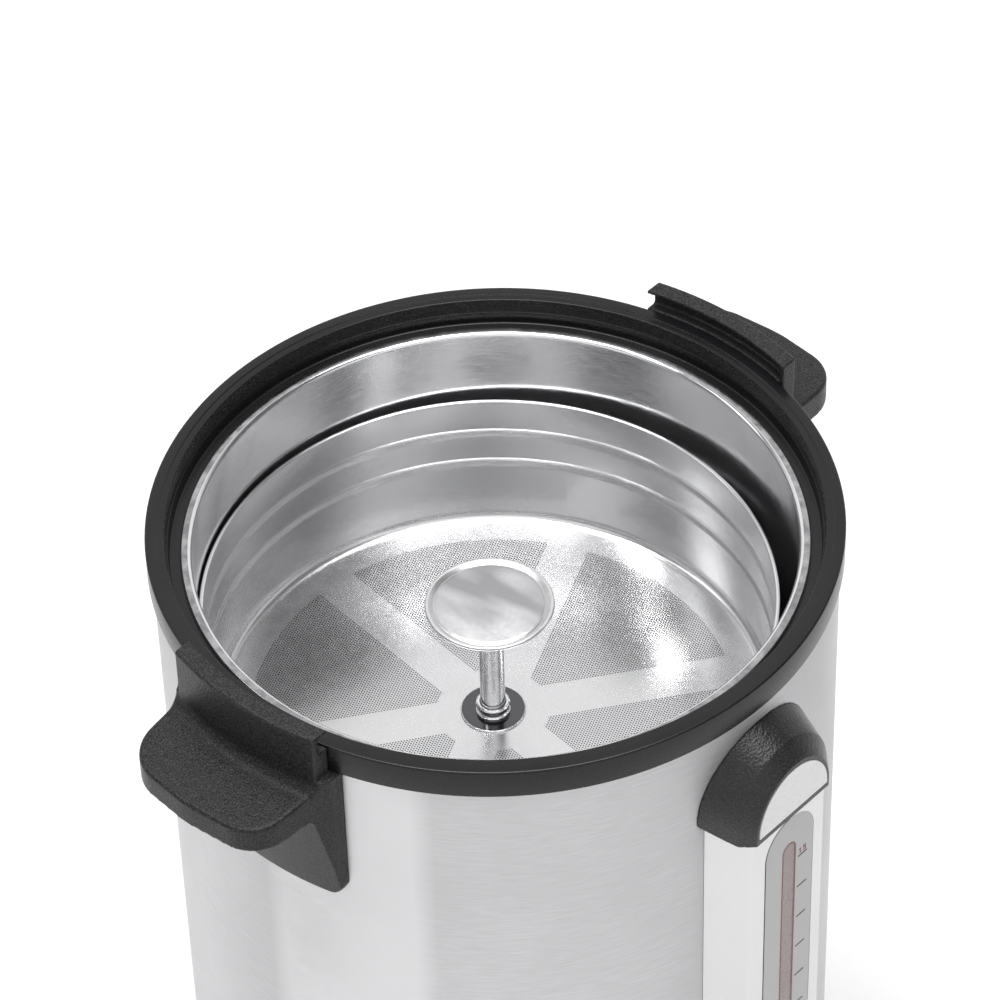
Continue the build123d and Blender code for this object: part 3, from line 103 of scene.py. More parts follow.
class Paint:
    """A node material and short ways to wire it. Lengths in it are in metres."""

    def __init__(self, name):
        self.name = name
        self.material = bpy.data.materials.new(name)
        self.material.use_nodes = True
        self.tree = self.material.node_tree
        self.shader = self.tree.nodes["Principled BSDF"]
        self.coordinates = self.tree.nodes.new("ShaderNodeTexCoord").outputs["Object"]

    def put(self, socket, value):
        """Link a socket to the value, or set it where the value is a plain one."""
        if isinstance(value, bpy.types.NodeSocket):
            self.tree.links.new(value, socket)
        else:
            socket.default_value = value

    def set(self, **values):
        """Inputs of the shader, named with _ for each space."""
        for name, value in values.items():
            if name == "Base_Color" and not isinstance(value, bpy.types.NodeSocket):
                value = (*value, 1)
            self.put(self.shader.inputs[name.replace("_", " ")], value)

    def source(self, name):
        """What feeds an input of the shader now."""
        return self.shader.inputs[name].links[0].from_socket

    def math(self, operation, *values):
        made = self.tree.nodes.new("ShaderNodeMath")
        made.operation = operation
        for socket, value in zip(made.inputs, values):
            self.put(socket, value)
        return made.outputs[0]

    def times(self, first, second):
        return self.math("MULTIPLY", first, second)

    def length(self, first, second):
        squares = [self.math("POWER", value, 2.0) for value in (first, second)]
        return self.math("SQRT", self.math("ADD", *squares))

    def between(self, value, low, high):
        """1 where the value lies between the two limits, otherwise 0."""
        return self.times(self.math("GREATER_THAN", value, low), self.math("LESS_THAN", value, high))

    def position(self):
        """Sockets with x, y and z."""
        made = self.tree.nodes.new("ShaderNodeSeparateXYZ")
        self.put(made.inputs[0], self.coordinates)
        return made.outputs

    def from_insert(self):
        """Distances x and y from the insert's axis."""
        return [self.math("SUBTRACT", *pair) for pair in zip(self.position(), INSERT)]

    def along(self, x, y, turn):
        """Distance from the axis in a direction."""
        return self.math("ADD", self.times(x, math.cos(turn)), self.times(y, math.sin(turn)))

    def across(self, x, y, turn):
        """Distance beside the line through the axis in a direction."""
        return self.math("SUBTRACT", self.times(y, math.cos(turn)), self.times(x, math.sin(turn)))

    def stretched(self, scale):
        """Coordinates that draw a texture out along the directions whose scale is low."""
        made = self.tree.nodes.new("ShaderNodeMapping")
        self.put(made.inputs["Vector"], self.coordinates)
        made.inputs["Scale"].default_value = scale
        return made.outputs[0]

    def noise(self, vector, scale=1.0, detail=3.0, roughness=0.5):
        made = self.tree.nodes.new("ShaderNodeTexNoise")
        self.put(made.inputs["Vector"], vector)
        made.inputs["Scale"].default_value = scale
        made.inputs["Detail"].default_value = detail
        made.inputs["Roughness"].default_value = roughness
        return made.outputs[0]

    def cells(self, scale):
        """Distance from the middle of round cells that fill space."""
        made = self.tree.nodes.new("ShaderNodeTexVoronoi")
        self.put(made.inputs["Vector"], self.coordinates)
        made.inputs["Scale"].default_value = scale
        return made.outputs["Distance"]

    def spread(self, value, low, high, start=NOISE_LOW, end=NOISE_HIGH):
        """The value's range from start to end brought to low ... high."""
        made = self.tree.nodes.new("ShaderNodeMapRange")
        for socket, number in zip(made.inputs, (value, start, end, low, high)):
            self.put(socket, number)
        return made.outputs[0]

    def blend(self, factor, first, second):
        made = self.tree.nodes.new("ShaderNodeMix")
        made.data_type = "RGBA"
        self.put(made.inputs["Factor"], factor)
        for socket, value in ((made.inputs["A"], first), (made.inputs["B"], second)):
            if not isinstance(value, bpy.types.NodeSocket):
                value = (*value, 1)
            self.put(socket, value)
        return made.outputs["Result"]

    def tint(self, mask, color):
        """Another colour where the mask is 1."""
        self.set(Base_Color=self.blend(mask, self.source("Base Color"), color))

    def bump(self, height, distance, before=None):
        made = self.tree.nodes.new("ShaderNodeBump")
        self.put(made.inputs["Height"], height)
        made.inputs["Distance"].default_value = distance
        if before is not None:
            self.put(made.inputs["Normal"], before)
        return made.outputs[0]


def shades(color, tone):
    """A darker and a lighter tone of a colour."""
    return tuple(v * (1 - tone) for v in color), tuple(min(1, v * (1 + tone)) for v in color)


def steel(name, color, roughness, grain=(160, 160, 2600), tone=0.05, smear=0.05, depth=3e-6, stretch=0.0):
    """Steel with a fine grain along the directions whose scale is low.

    tone is how far the colour varies, smear how far the roughness does, depth the height of the
    grain in metres, and stretch how far a reflection is drawn out across a brushed surface.
    """
    paint = Paint(name)
    streaks = paint.noise(paint.stretched(grain), detail=4)
    patches = paint.noise(paint.coordinates, scale=14)
    base = paint.blend(paint.spread(streaks, 0, 1), *shades(color, tone))
    dull = shades(color, tone * 0.6)[0]
    paint.set(
        Base_Color=paint.blend(paint.spread(patches, 0.0, 0.35), base, dull),
        Metallic=1.0,
        Roughness=paint.math(
            "ADD",
            paint.spread(streaks, roughness - smear, roughness + smear),
            paint.spread(patches, -0.4 * smear, 0.6 * smear),
        ),
        Normal=paint.bump(streaks, depth),
    )
    if stretch:
        tangent = paint.tree.nodes.new("ShaderNodeTangent")
        tangent.direction_type = "RADIAL"
        tangent.axis = "Z"
        paint.set(Anisotropic=stretch, Anisotropic_Rotation=0.25, Tangent=tangent.outputs[0])
    return paint


def plastic(name, color, roughness, grain=1400, depth=2e-5, tone=0.25, ior=1.45, pits=0.0, glint_specks=0.0):
    """Moulded plastic with a fine even grain and slightly worn tone.

    depth is the height of the grain and pits that of its hollows, both in metres. specks is the
    grey of its lighter points, which are painted glints of the grain's highlights.
    """
    paint = Paint(name)
    fine = paint.noise(paint.coordinates, scale=grain, roughness=0.6)
    patches = paint.noise(paint.coordinates, scale=25, detail=4)
    base = paint.blend(paint.spread(patches, 0, 1), *shades(color, tone))
    # Painted glints: lighter specks in the colour stand in for highlights caught by the grain.
    if glint_specks:
        points = paint.noise(paint.coordinates, scale=1900, detail=2)
        base = paint.blend(paint.spread(points, 0, 1, 0.42, 0.72), base, (glint_specks, glint_specks, glint_specks))
    normal = paint.bump(fine, depth)
    if pits:
        spots = paint.cells(grain * 0.55)
        normal = paint.bump(paint.spread(spots, 0, 1, 0.15, 0.75), pits, before=normal)
    paint.set(
        Base_Color=base,
        Roughness=paint.math(
            "ADD",
            paint.spread(fine, roughness - 0.05, roughness + 0.05),
            paint.spread(patches, -0.03, 0.04),
        ),
        IOR=ior,
        Normal=normal,
    )
    return paint


def brushed_steel():
    """Shell: finely brushed, with a painted reflection: a lighter upright band that has soft edges."""
    shell_radius = 148 * MM
    reflection_band_x, reflection_band_y = -0.9625, -0.2714  # direction of the band's middle
    reflection_band_edge, reflection_band_full = 0.9605 * shell_radius, 0.977 * shell_radius  # distances that way
    reflection_band_share = 0.75
    paint = steel(
        "brushed_steel", (0.57, 0.57, 0.58), 0.42, grain=(90, 90, 1700), tone=0.11, smear=0.06, stretch=0.85
    )
    x, y = paint.position()[:2]
    facing = paint.math("ADD", paint.times(x, reflection_band_x), paint.times(y, reflection_band_y))
    # Painted reflection: the shell's colour is lighter in an upright band on one side.
    paint.tint(paint.spread(facing, 0, reflection_band_share, reflection_band_edge, reflection_band_full), (0.735, 0.735, 0.745))
    return paint


def bright_steel(name):
    """Polished sheet."""
    return steel(name, (0.78, 0.78, 0.79), 0.17, tone=0.04, depth=1.5e-6, stretch=0.3)


def stem_steel(name):
    """Polished tube, with its grain along it."""
    return steel(name, (0.80, 0.80, 0.81), 0.12, grain=(500, 500, 60), tone=0.01, smear=0.01, depth=1e-7)


def tank_steel():
    """Tank: polished sheet, with a painted reflection, a mottled darker grey, on the flat of its flange."""
    flange_flat = 458.96 * MM
    paint = bright_steel("tank_steel")
    # Painted reflection: the flat of the flange gets a mottled darker grey in place of what it mirrors.
    flat = paint.math("GREATER_THAN", paint.position()[2], flange_flat)
    mottled_reflection = paint.spread(paint.noise(paint.coordinates, scale=180), 0, 1, 0.35, 0.65)
    paint.tint(flat, paint.blend(mottled_reflection, (0.26, 0.26, 0.27), (0.48, 0.48, 0.49)))
    return paint


def hub_steel():
    """Hub: bright sleeve on a washer that carries a painted dark reflection."""
    washer_inner, washer_outer = 7.6 * MM, 14.1 * MM
    paint = stem_steel("hub_steel")
    radius = paint.length(*paint.from_insert())
    # Painted reflection: the washer's ring is painted a dark grey.
    paint.tint(paint.between(radius, washer_inner, washer_outer), (0.12, 0.12, 0.125))
    return paint


def cap_steel():
    """Spray cap: satin disc with a soft uneven painted sheen inside its bead."""
    dish_radius = 24.2 * MM
    paint = steel(
        "cap_steel", (0.70, 0.70, 0.71), 0.30, grain=(500, 500, 2200), tone=0.03, smear=0.03, depth=4e-7
    )
    swirl = paint.noise(paint.stretched((70, 26, 40)), detail=1.5)
    sheen = paint.spread(swirl, 0.0, 0.95, 0.38, 0.60)
    dish = paint.math("LESS_THAN", paint.length(*paint.from_insert()), dish_radius)
    # Painted sheen: swirls of darker grey painted into the dish's colour.
    paint.tint(paint.times(sheen, dish), (0.38, 0.38, 0.39))
    return paint


SPOKE_TURN = 23.7  # degrees
SPOKE_HALF = 9.85 * MM
HOLE_RADIUS = 0.36 * MM
HOLE_PITCH = 1.3 * MM
HOLE_ROW = HOLE_PITCH * math.sqrt(3)


def perforated_field(paint, x, y):
    """1 in the six sectors of the basket's floor, and 0 on its spokes, rims and wall."""
    sector_inner, sector_outer = 25.0 * MM, 108.8 * MM
    floor_top = 352.4 * MM
    field = paint.between(paint.length(x, y), sector_inner, sector_outer)
    field = paint.times(field, paint.math("LESS_THAN", paint.position()[2], floor_top))
    for spoke in range(3):
        beside = paint.math("ABSOLUTE", paint.across(x, y, math.radians(SPOKE_TURN + 60 * spoke)))
        field = paint.times(field, paint.math("GREATER_THAN", beside, SPOKE_HALF))
    return field


def hole_distance(paint, along, across, shift):
    """Distance to the nearest hole's centre in one of the two grids that make the pattern."""
    centred = 100.5  # the half puts a centre in the middle of its cell; the rest keeps cells positive
    offsets = []
    for value, step in ((along, HOLE_PITCH), (across, HOLE_ROW)):
        cell = paint.math("FRACT", paint.math("ADD", paint.math("DIVIDE", value, step), centred + shift))
        offsets.append(paint.times(paint.math("SUBTRACT", cell, 0.5), step))
    return paint.length(*offsets)


def basket_steel():
    """Basket: satin sheet with six perforated sectors in the floor; the holes are real, drawn as near-black
    dots of painted shade.
    """
    paint = steel(
        "basket_steel", (0.78, 0.78, 0.79), 0.22, tone=0.015, smear=0.02, depth=4e-7, stretch=0.3
    )
    x, y = paint.from_insert()
    turn = math.radians(SPOKE_TURN)
    along, across = paint.along(x, y, turn), paint.across(x, y, turn)
    grids = [hole_distance(paint, along, across, shift) for shift in (0.0, 0.5)]
    inside = paint.math("LESS_THAN", paint.math("MINIMUM", *grids), HOLE_RADIUS)
    hole = paint.times(perforated_field(paint, x, y), inside)
    # Painted shade: near-black dots where the holes are, standing in for the dark seen through them.
    paint.tint(hole, (0.012, 0.012, 0.013))
    paint.set(Roughness=paint.math("MAXIMUM", paint.source("Roughness"), paint.times(hole, 0.85)))
    return paint


def gauge_glass():
    """Gauge glass: reddish grey, since it stands behind the slot's tinted film."""
    paint = Paint("glass")
    smears = paint.noise(paint.stretched((40, 40, 8)), detail=4)
    paint.set(
        Base_Color=paint.blend(smears, (0.25, 0.215, 0.21), (0.32, 0.275, 0.27)),
        Roughness=paint.spread(smears, 0.08, 0.16),
        IOR=1.47,
    )
    return paint


def lamp_lens(name, color):
    paint = plastic(name, color, 0.2, grain=500, depth=2e-6, tone=0.12)
    paint.set(Transmission_Weight=0.35)
    return paint


BLACK = (0.004, 0.004, 0.005)
COLLAR_BLACK = (0.005, 0.005, 0.006)
STEELS = [
    brushed_steel(),
    bright_steel("bright_steel"),
    stem_steel("stem_steel"),
    tank_steel(),
    hub_steel(),
    cap_steel(),
    basket_steel(),
    steel("column_steel", (0.66, 0.66, 0.66), 0.40, grain=(1400, 1400, 60), tone=0.02, depth=1e-6),
    steel("tap_chrome", (0.64, 0.64, 0.65), 0.10, grain=(90, 90, 90), tone=0.03, smear=0.03),
    steel("fastener_steel", (0.62, 0.62, 0.63), 0.28, grain=(700, 700, 700)),
    steel("element_steel", (0.45, 0.43, 0.41), 0.42, grain=(300, 300, 300), tone=0.12),
    steel("aluminium", (0.70, 0.70, 0.71), 0.45, grain=(900, 900, 900), depth=1e-5),
    steel("brass", (0.72, 0.54, 0.24), 0.25, grain=(600, 600, 600), tone=0.08),
]
PLASTICS = [
    plastic("black_plastic", BLACK, 0.38, grain=1500, depth=1.6e-4, ior=1.29, pits=8e-5, glint_specks=0.05),
    plastic("cap_plastic", BLACK, 0.30, grain=1300, depth=1.5e-4, ior=1.46, pits=8e-5, glint_specks=0.03),
    plastic("collar_plastic", COLLAR_BLACK, 0.27, grain=1600, depth=1.5e-5, ior=1.37, glint_specks=0.008),
    plastic("spacer_plastic", (0.72, 0.71, 0.68), 0.5, tone=0.05),
    plastic("rubber", (0.022, 0.022, 0.022), 0.75, grain=900, depth=3e-5),
    plastic("silicone", (0.66, 0.66, 0.63), 0.55, grain=600, tone=0.06),
    plastic("lead_sleeve", (0.55, 0.52, 0.46), 0.6, grain=700, tone=0.10),
    plastic("badge", (0.72, 0.72, 0.73), 0.3, grain=900, depth=2e-7, tone=0.015),
    plastic("window_plastic", (0.43, 0.43, 0.435), 0.38, grain=900, depth=1e-6, tone=0.02),
    plastic("scale_print", (0.040, 0.018, 0.015), 0.45, grain=900, depth=1e-6, tone=0.15),
    plastic("border_print", (0.21, 0.065, 0.05), 0.45, grain=900, depth=1e-6, tone=0.15),
    plastic("slot_film", (0.27, 0.225, 0.22), 0.28, grain=300, depth=1e-6, tone=0.08),
    lamp_lens("lamp_amber", (0.90, 0.38, 0.05)),
    lamp_lens("lamp_green", (0.10, 0.60, 0.16)),
]
paints = {paint.name: paint for paint in [*STEELS, *PLASTICS, gauge_glass()]}

slot_of = {part["node"]: part["material_slot"] for part in frame["record"]["subparts"]}
for name, thing in cad.items():
    thing.data.materials.clear()
    thing.data.materials.append(paints[slot_of[name]].material)

# ---- Helpers for pieces -------------------------------------------------------------------------

EDGE_STEPS = 5
BEND_STEPS = 6
STRAIGHT = math.pi - 0.02  # a wider corner is left as it is
ARC_SHARE = 0.49  # of the shorter side of a corner, at most
MITRE_LIMIT = 0.5  # keeps a sheet from growing long points at its bends
ON_AXIS = 1e-6
CREASE = math.radians(35)  # edges sharper than this stay crisp


def corner_points(before, corner, after, radius, steps):
    """Points of an arc that rounds one corner of a section."""
    if radius <= 0:
        return [corner]
    first, second = (before - corner).normalized(), (after - corner).normalized()
    angle = first.angle(second)
    if angle > STRAIGHT:
        return [corner]
    longest = ARC_SHARE * min((before - corner).length, (after - corner).length)
    reach = min(radius / math.tan(angle / 2), longest)
    fitted = reach * math.tan(angle / 2)
    centre = corner + (first + second).normalized() * (fitted / math.sin(angle / 2))
    start, end = corner + first * reach - centre, corner + second * reach - centre
    sweep = start.angle_signed(end)
    return [centre + Matrix.Rotation(-sweep * i / steps, 2) @ start for i in range(steps + 1)]


def rounded_loop(section):
    """Outline of a closed section whose points are (radius, height, rounding)."""
    corners = [Vector(point[:2]) for point in section]
    loop = []
    for i, corner in enumerate(corners):
        after = corners[(i + 1) % len(corners)]
        loop += corner_points(corners[i - 1], corner, after, section[i][2], EDGE_STEPS)
    return loop


def sheet_loop(section, thickness):
    """Outline of a bent sheet whose mid line has the points (radius, height, bend)."""
    corners = [Vector(point[:2]) for point in section]
    line = [corners[0]]
    for i in range(1, len(corners) - 1):
        line += corner_points(corners[i - 1], corners[i], corners[i + 1], section[i][2], BEND_STEPS)
    line.append(corners[-1])
    one_side, other_side = [], []
    for i, point in enumerate(line):
        runs = []
        if i > 0:
            runs.append((point - line[i - 1]).normalized())
        if i < len(line) - 1:
            runs.append((line[i + 1] - point).normalized())
        run = sum(runs, Vector((0, 0))).normalized()
        normal = Vector((-run.y, run.x))
        half = thickness / 2 / max(MITRE_LIMIT, normal.dot(Vector((-runs[0].y, runs[0].x))))
        one_side.append(point + normal * half)
        other_side.append(point - normal * half)
    return one_side + other_side[::-1]


def closed_mesh(work, name):
    """Mesh of the finished work, with every face looking outward."""
    bmesh.ops.recalc_face_normals(work, faces=work.faces)
    mesh = bpy.data.meshes.new(name)
    work.to_mesh(mesh)
    work.free()
    return mesh


def smooth_object(mesh, name, crease=CREASE):
    """New smooth-shaded object whose sharper edges stay crisp."""
    for face in mesh.polygons:
        face.use_smooth = True
    mesh.set_sharp_from_angle(angle=crease)
    return add_object(name, mesh)


def ring(work, point, axis, segments):
    """Vertices of one point of a section turned about an upright axis; one vertex on the axis."""
    radius, height = point[0] * MM, point[1] * MM
    if point[0] < ON_AXIS:
        return [work.verts.new((axis[0], axis[1], height))]
    turns = [2 * math.pi * i / segments for i in range(segments)]
    return [
        work.verts.new((axis[0] + radius * math.cos(turn), axis[1] + radius * math.sin(turn), height))
        for turn in turns
    ]


def lathe(name, loop, axis=(0, 0), segments=320):
    """Closed section turned about an upright axis."""
    work = bmesh.new()
    rings = [ring(work, point, axis, segments) for point in loop]
    for first, second in zip(rings, rings[1:] + rings[:1]):
        if len(first) == 1 and len(second) == 1:
            continue
        for i in range(segments):
            j = (i + 1) % segments
            if len(first) == 1:
                work.faces.new((first[0], second[j], second[i]))
            elif len(second) == 1:
                work.faces.new((first[i], first[j], second[0]))
            else:
                work.faces.new((first[i], first[j], second[j], second[i]))
    return smooth_object(closed_mesh(work, name), name)


def dress(piece, paint, body, slot, *nodes):
    """Paint a new piece, seat it on its body and let it stand for its CAD nodes."""
    piece.data.materials.clear()
    piece.data.materials.append(paints[paint].material)
    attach(piece, body)
    if nodes:
        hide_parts(*nodes)


# ---- Collar -------------------------------------------------------------------------------------

COLLAR = [
    (150.0, 456.0, 0.4),
    (150.0, 470.0, 0.9),
    (145.2, 470.0, 0.15),
    (144.85, 469.65, 0.1),
    (141.7, 469.65, 0.6),
    (141.0, 463.1, 0.1),
    (140.6, 463.1, 0.1),
    (140.2, 457.3, 0.8),
    (133.5, 457.3, 0.4),
    (133.5, 454.3, 0.2),
    (144.5, 454.3, 0.2),
    (144.5, 466.5, 0.2),
    (148.15, 466.5, 0.2),
    (148.15, 456.0, 0.2),
]
dress(lathe("collar", rounded_loop(COLLAR)), "collar_plastic", "urn", "collar_plastic", "rim_ring")

# ---- Basket and tank ----------------------------------------------------------------------------

BASKET_SHEET = 0.6
BASKET_HOLE = 7.95
BASKET_WALL = 124.51
BASKET_FLOOR = 351.7
BASKET_TOP = 423.7
FLOOR_BEND = 5.0
CURL_REACH = 1.4
CURL_DROP = 2.1
CURL_BEND = 0.6
BEADS = (386.5, 404.6)
BEAD_HALF = 2.6
BEAD_BULGE = 1.2
BEAD_BEND = 2.2

basket_line = [(BASKET_HOLE, BASKET_FLOOR, 0), (BASKET_WALL, BASKET_FLOOR, FLOOR_BEND)]
for height in BEADS:
    basket_line += [
        (BASKET_WALL, height - BEAD_HALF, BEAD_BEND),
        (BASKET_WALL + BEAD_BULGE, height, BEAD_BEND),
        (BASKET_WALL, height + BEAD_HALF, BEAD_BEND),
    ]
basket_line += [
    (BASKET_WALL, BASKET_TOP, CURL_BEND),
    (BASKET_WALL + CURL_REACH, BASKET_TOP, CURL_BEND),
    (BASKET_WALL + CURL_REACH, BASKET_TOP - CURL_DROP, 0),
]
basket = lathe("basket_shell", sheet_loop(basket_line, BASKET_SHEET), INSERT)
dress(basket, "basket_steel", "basket_set", "bright_steel", "basket")

TANK_SHEET = 0.8
TANK_LINE = [
    (0, 71.6, 0),
    (34.4, 71.6, 3.0),
    (34.4, 79.6, 3.0),
    (130.9, 79.6, 12.0),
    (130.9, 458.6, 1.7),
    (135.1, 458.6, 0.8),
    (135.1, 457.6, 0),
]
tank = lathe("tank_shell", sheet_loop(TANK_LINE, TANK_SHEET))
dress(tank, "tank_steel", "urn", "bright_steel", "tank")

# ---- Hub and stem -------------------------------------------------------------------------------

HUB = [
    (5.85, 343.4, 0.1),
    (6.75, 343.4, 0.1),
    (6.75, 350.6, 0),
    (9.75, 350.6, 0.2),
    (9.75, 351.4, 0.2),
    (6.75, 351.4, 0),
    (6.75, 352.0, 0),
    (14.3, 352.0, 0.2),
    (14.7, 352.4, 0.3),
    (14.3, 353.0, 0.4),
    (7.4, 353.0, 0.4),
    (6.75, 353.6, 0.4),
    (6.75, 355.6, 0.6),
    (7.65, 356.4, 0.4),
    (7.65, 357.2, 0.4),
    (6.9, 358.0, 0.4),
    (5.85, 358.0, 0.3),
]
hub = lathe("guide_hub", rounded_loop(HUB), INSERT, segments=128)
dress(hub, "hub_steel", "basket_set", "bright_steel", "basket_hub")

STEM = [
    (4.95, 92.3, 0),
    (5.55, 92.3, 0.1),
    (5.55, 341.1, 0.8),
    (7.75, 341.9, 0.4),
    (7.75, 342.7, 0.3),
    (5.55, 343.1, 0.2),
    (5.55, 410.0, 0.2),
    (4.95, 410.0, 0.2),
]
stem = lathe("stem", rounded_loop(STEM), INSERT, segments=96)
dress(stem, "stem_steel", "insert", "bright_steel", "stem_tube")

# ---- Spray cap: dished disc with a bead, four posts and a plug in the stem ----------------------

DISC_EDGE = 418.0
DISC_THICK = 1.0
DISH_DEPTH = 1.6
DISH_RADIUS = 24.4
DISH_STEPS = 16
BEAD = [
    (24.9, 417.75, 0.4),
    (26.9, 419.0, 0.9),
    (28.4, 419.0, 0.8),
    (28.4, 417.3, 0.7),
    (25.0, 417.0, 0.2),
    (24.4, 417.0, 0.2),
]
PLUG_BORE, PLUG_RADIUS, PLUG_TOP = 3.97, 4.87, 411.0
PLUG = [
    (PLUG_BORE, 404.2, 0.2),
    (4.6, 404.0, 0.2),
    (PLUG_RADIUS, 404.4, 0.2),
    (PLUG_RADIUS, PLUG_TOP, 0.1),
    (PLUG_BORE, PLUG_TOP, 0.1),
]
POST_TOP = 418.9
POST = [(PLUG_BORE, PLUG_TOP), (PLUG_RADIUS, PLUG_TOP), (PLUG_RADIUS, POST_TOP), (PLUG_BORE, POST_TOP)]
POST_START, POST_END = 18, 72  # degrees in each quarter
POST_STEPS = 8


def crown(edge, steps):
    """Points of a shallow parabola over the dish, from its height at the edge."""
    return [
        (DISH_RADIUS * i / DISH_STEPS, edge + DISH_DEPTH * (1 - (i / DISH_STEPS) ** 2)) for i in steps
    ]


def post(work, start, end):
    """Closed block that stands on the plug between two directions."""
    rows = []
    for i in range(POST_STEPS + 1):
        turn = math.radians(start + (end - start) * i / POST_STEPS)
        cosine, sine = math.cos(turn), math.sin(turn)
        row = []
        for radius, height in POST:
            x, y = INSERT[0] + radius * MM * cosine, INSERT[1] + radius * MM * sine
            row.append(work.verts.new((x, y, height * MM)))
        rows.append(row)
    for first, second in zip(rows, rows[1:]):
        for i in range(4):
            j = (i + 1) % 4
            work.faces.new((first[i], first[j], second[j], second[i]))
    work.faces.new(rows[0][::-1])
    work.faces.new(rows[-1])


upper = crown(DISC_EDGE, range(DISH_STEPS + 1))
lower = crown(DISC_EDGE - DISC_THICK, range(DISH_STEPS - 1, -1, -1))
disc = lathe("spray_disc", upper + rounded_loop(BEAD) + lower, INSERT, segments=192)
dress(disc, "cap_steel", "spray", "bright_steel", "spray_cap")

plug = lathe("spray_plug", rounded_loop(PLUG), INSERT, segments=96)
dress(plug, "stem_steel", "spray", "bright_steel")

post_work = bmesh.new()
for quarter in range(4):
    post(post_work, 90 * quarter + POST_START, 90 * quarter + POST_END)
posts = smooth_object(closed_mesh(post_work, "spray_posts"), "spray_posts")
dress(posts, "stem_steel", "spray", "bright_steel")

# ---- Moulded black pieces -----------------------------------------------------------------------

WELD = 0.02 * MM
SMOOTHING = 3
KEPT_SHARE = 0.35


def softened(node, name, voxel):
    """Copy of a CAD node with its edges slightly rounded, as moulded plastic has them."""
    thing = add_object(name, cad[node].data.copy())
    weld = thing.modifiers.new("weld", "WELD")
    weld.merge_threshold = WELD
    remesh = thing.modifiers.new("remesh", "REMESH")
    remesh.mode = "VOXEL"
    remesh.voxel_size = voxel
    smooth = thing.modifiers.new("smooth", "SMOOTH")
    smooth.factor = 0.5
    smooth.iterations = SMOOTHING
    thin = thing.modifiers.new("thin", "DECIMATE")
    thin.ratio = KEPT_SHARE
    bpy.context.view_layer.update()
    ready = thing.evaluated_get(bpy.context.evaluated_depsgraph_get())
    mesh = bpy.data.meshes.new_from_object(ready)
    bpy.data.objects.remove(thing)
    return smooth_object(mesh, name, math.pi)


for side in ("left", "right"):
    grip = softened(f"{side}_handle", f"{side}_grip", 0.55 * MM)
    dress(grip, "black_plastic", "urn", "black_plastic", f"{side}_handle")
cap = softened("column_cap", "cap_shell", 0.45 * MM)
dress(cap, "cap_plastic", "urn", "black_plastic", "column_cap")

# ---- Print on the gauge window: outlines are (x, z) in millimetres ------------------------------

PRINT_BACK = -165.38
PRINT_FRONT = -165.52
FILM_BACK = -165.1
FILM_FRONT = -165.2


def outline_vertices(work, outline, y):
    return [work.verts.new((x * MM, y * MM, z * MM)) for x, z in outline]


def printed(name, paint, outlines, back_y=PRINT_BACK, front_y=PRINT_FRONT):
    """Thin raised marks on the window, one for each closed outline."""
    work = bmesh.new()
    for outline in outlines:
        back = outline_vertices(work, outline, back_y)
        front = outline_vertices(work, outline, front_y)
        for i in range(len(outline)):
            j = (i + 1) % len(outline)
            work.faces.new((back[i], back[j], front[j], front[i]))
        work.faces.new(front)
        work.faces.new(back[::-1])
    dress(add_object(name, closed_mesh(work, name)), paint, "urn", "window_plastic")


def bar(left, low, width, height):
    """Outline of an upright rectangle."""
    return [(left, low), (left + width, low), (left + width, low + height), (left, low + height)]


MARKS = 12
MARK_TOP = 368.7
MARK_STEP = 19.27
MARK_LEFT = 6.0
MARK_LENGTH = 6.0
MARK_THICK = 0.6
marks = [bar(MARK_LEFT, MARK_TOP - MARK_STEP * i, MARK_LENGTH, MARK_THICK) for i in range(MARKS)]
printed("scale_marks", "scale_print", marks)

DIGIT_ONE = [bar(7.3, 370.4, 0.5, 3.0), bar(6.7, 372.7, 0.6, 0.45)]
DIGIT_FIVE = [
    bar(9.5, 372.95, 1.7, 0.45),
    bar(9.5, 371.9, 0.45, 1.05),
    bar(9.95, 371.9, 1.25, 0.42),
    bar(10.78, 370.82, 0.42, 1.08),
    bar(9.5, 370.4, 1.7, 0.42),
]
printed("scale_number", "border_print", DIGIT_ONE + DIGIT_FIVE)

# ---- Slot: red border, and the tinted film that closes it just under the plate's face -----------

SLOT_HALF = 3.8
SLOT_SHOULDER = 377.8
SLOT_BOTTOM = 158.0
BORDER = 0.6
OVERLAP = 0.02
ARCH_STEPS = 24


def arch(grow):
    """Outline of the slot, drawn outward by a distance."""
    half, low = SLOT_HALF + grow, SLOT_BOTTOM - grow
    turns = [math.pi * i / ARCH_STEPS for i in range(ARCH_STEPS + 1)]
    round_top = [(half * math.cos(turn), SLOT_SHOULDER + half * math.sin(turn)) for turn in turns]
    return [(half, low), *round_top, (-half, low)]


def slot_border():
    """Raised rim round the slot."""
    work = bmesh.new()
    back_in, back_out, front_in, front_out = (
        outline_vertices(work, arch(grow), y) for y in (PRINT_BACK, PRINT_FRONT) for grow in (0, BORDER)
    )
    for i in range(len(back_in)):
        j = (i + 1) % len(back_in)
        work.faces.new((front_in[i], front_in[j], front_out[j], front_out[i]))
        work.faces.new((back_in[i], back_out[i], back_out[j], back_in[j]))
        work.faces.new((front_out[i], front_out[j], back_out[j], back_out[i]))
        work.faces.new((front_in[i], back_in[i], back_in[j], front_in[j]))
    return add_object("slot_border", closed_mesh(work, "slot_border"))


dress(slot_border(), "border_print", "urn", "window_plastic")
printed("slot_film", "slot_film", [arch(OVERLAP)], FILM_BACK, FILM_FRONT)

# ---- Shadow line along the window's left edge and the left half of its round top ----------------

PLATE_HALF = 15.85
PLATE_LOW = 141.0
PLATE_SHOULDER = 382.0
PLATE_TOP = 398.0
LINE_INSIDE, LINE_OUTSIDE = -0.35, 0.3
EDGE_ARC_STEPS = 24


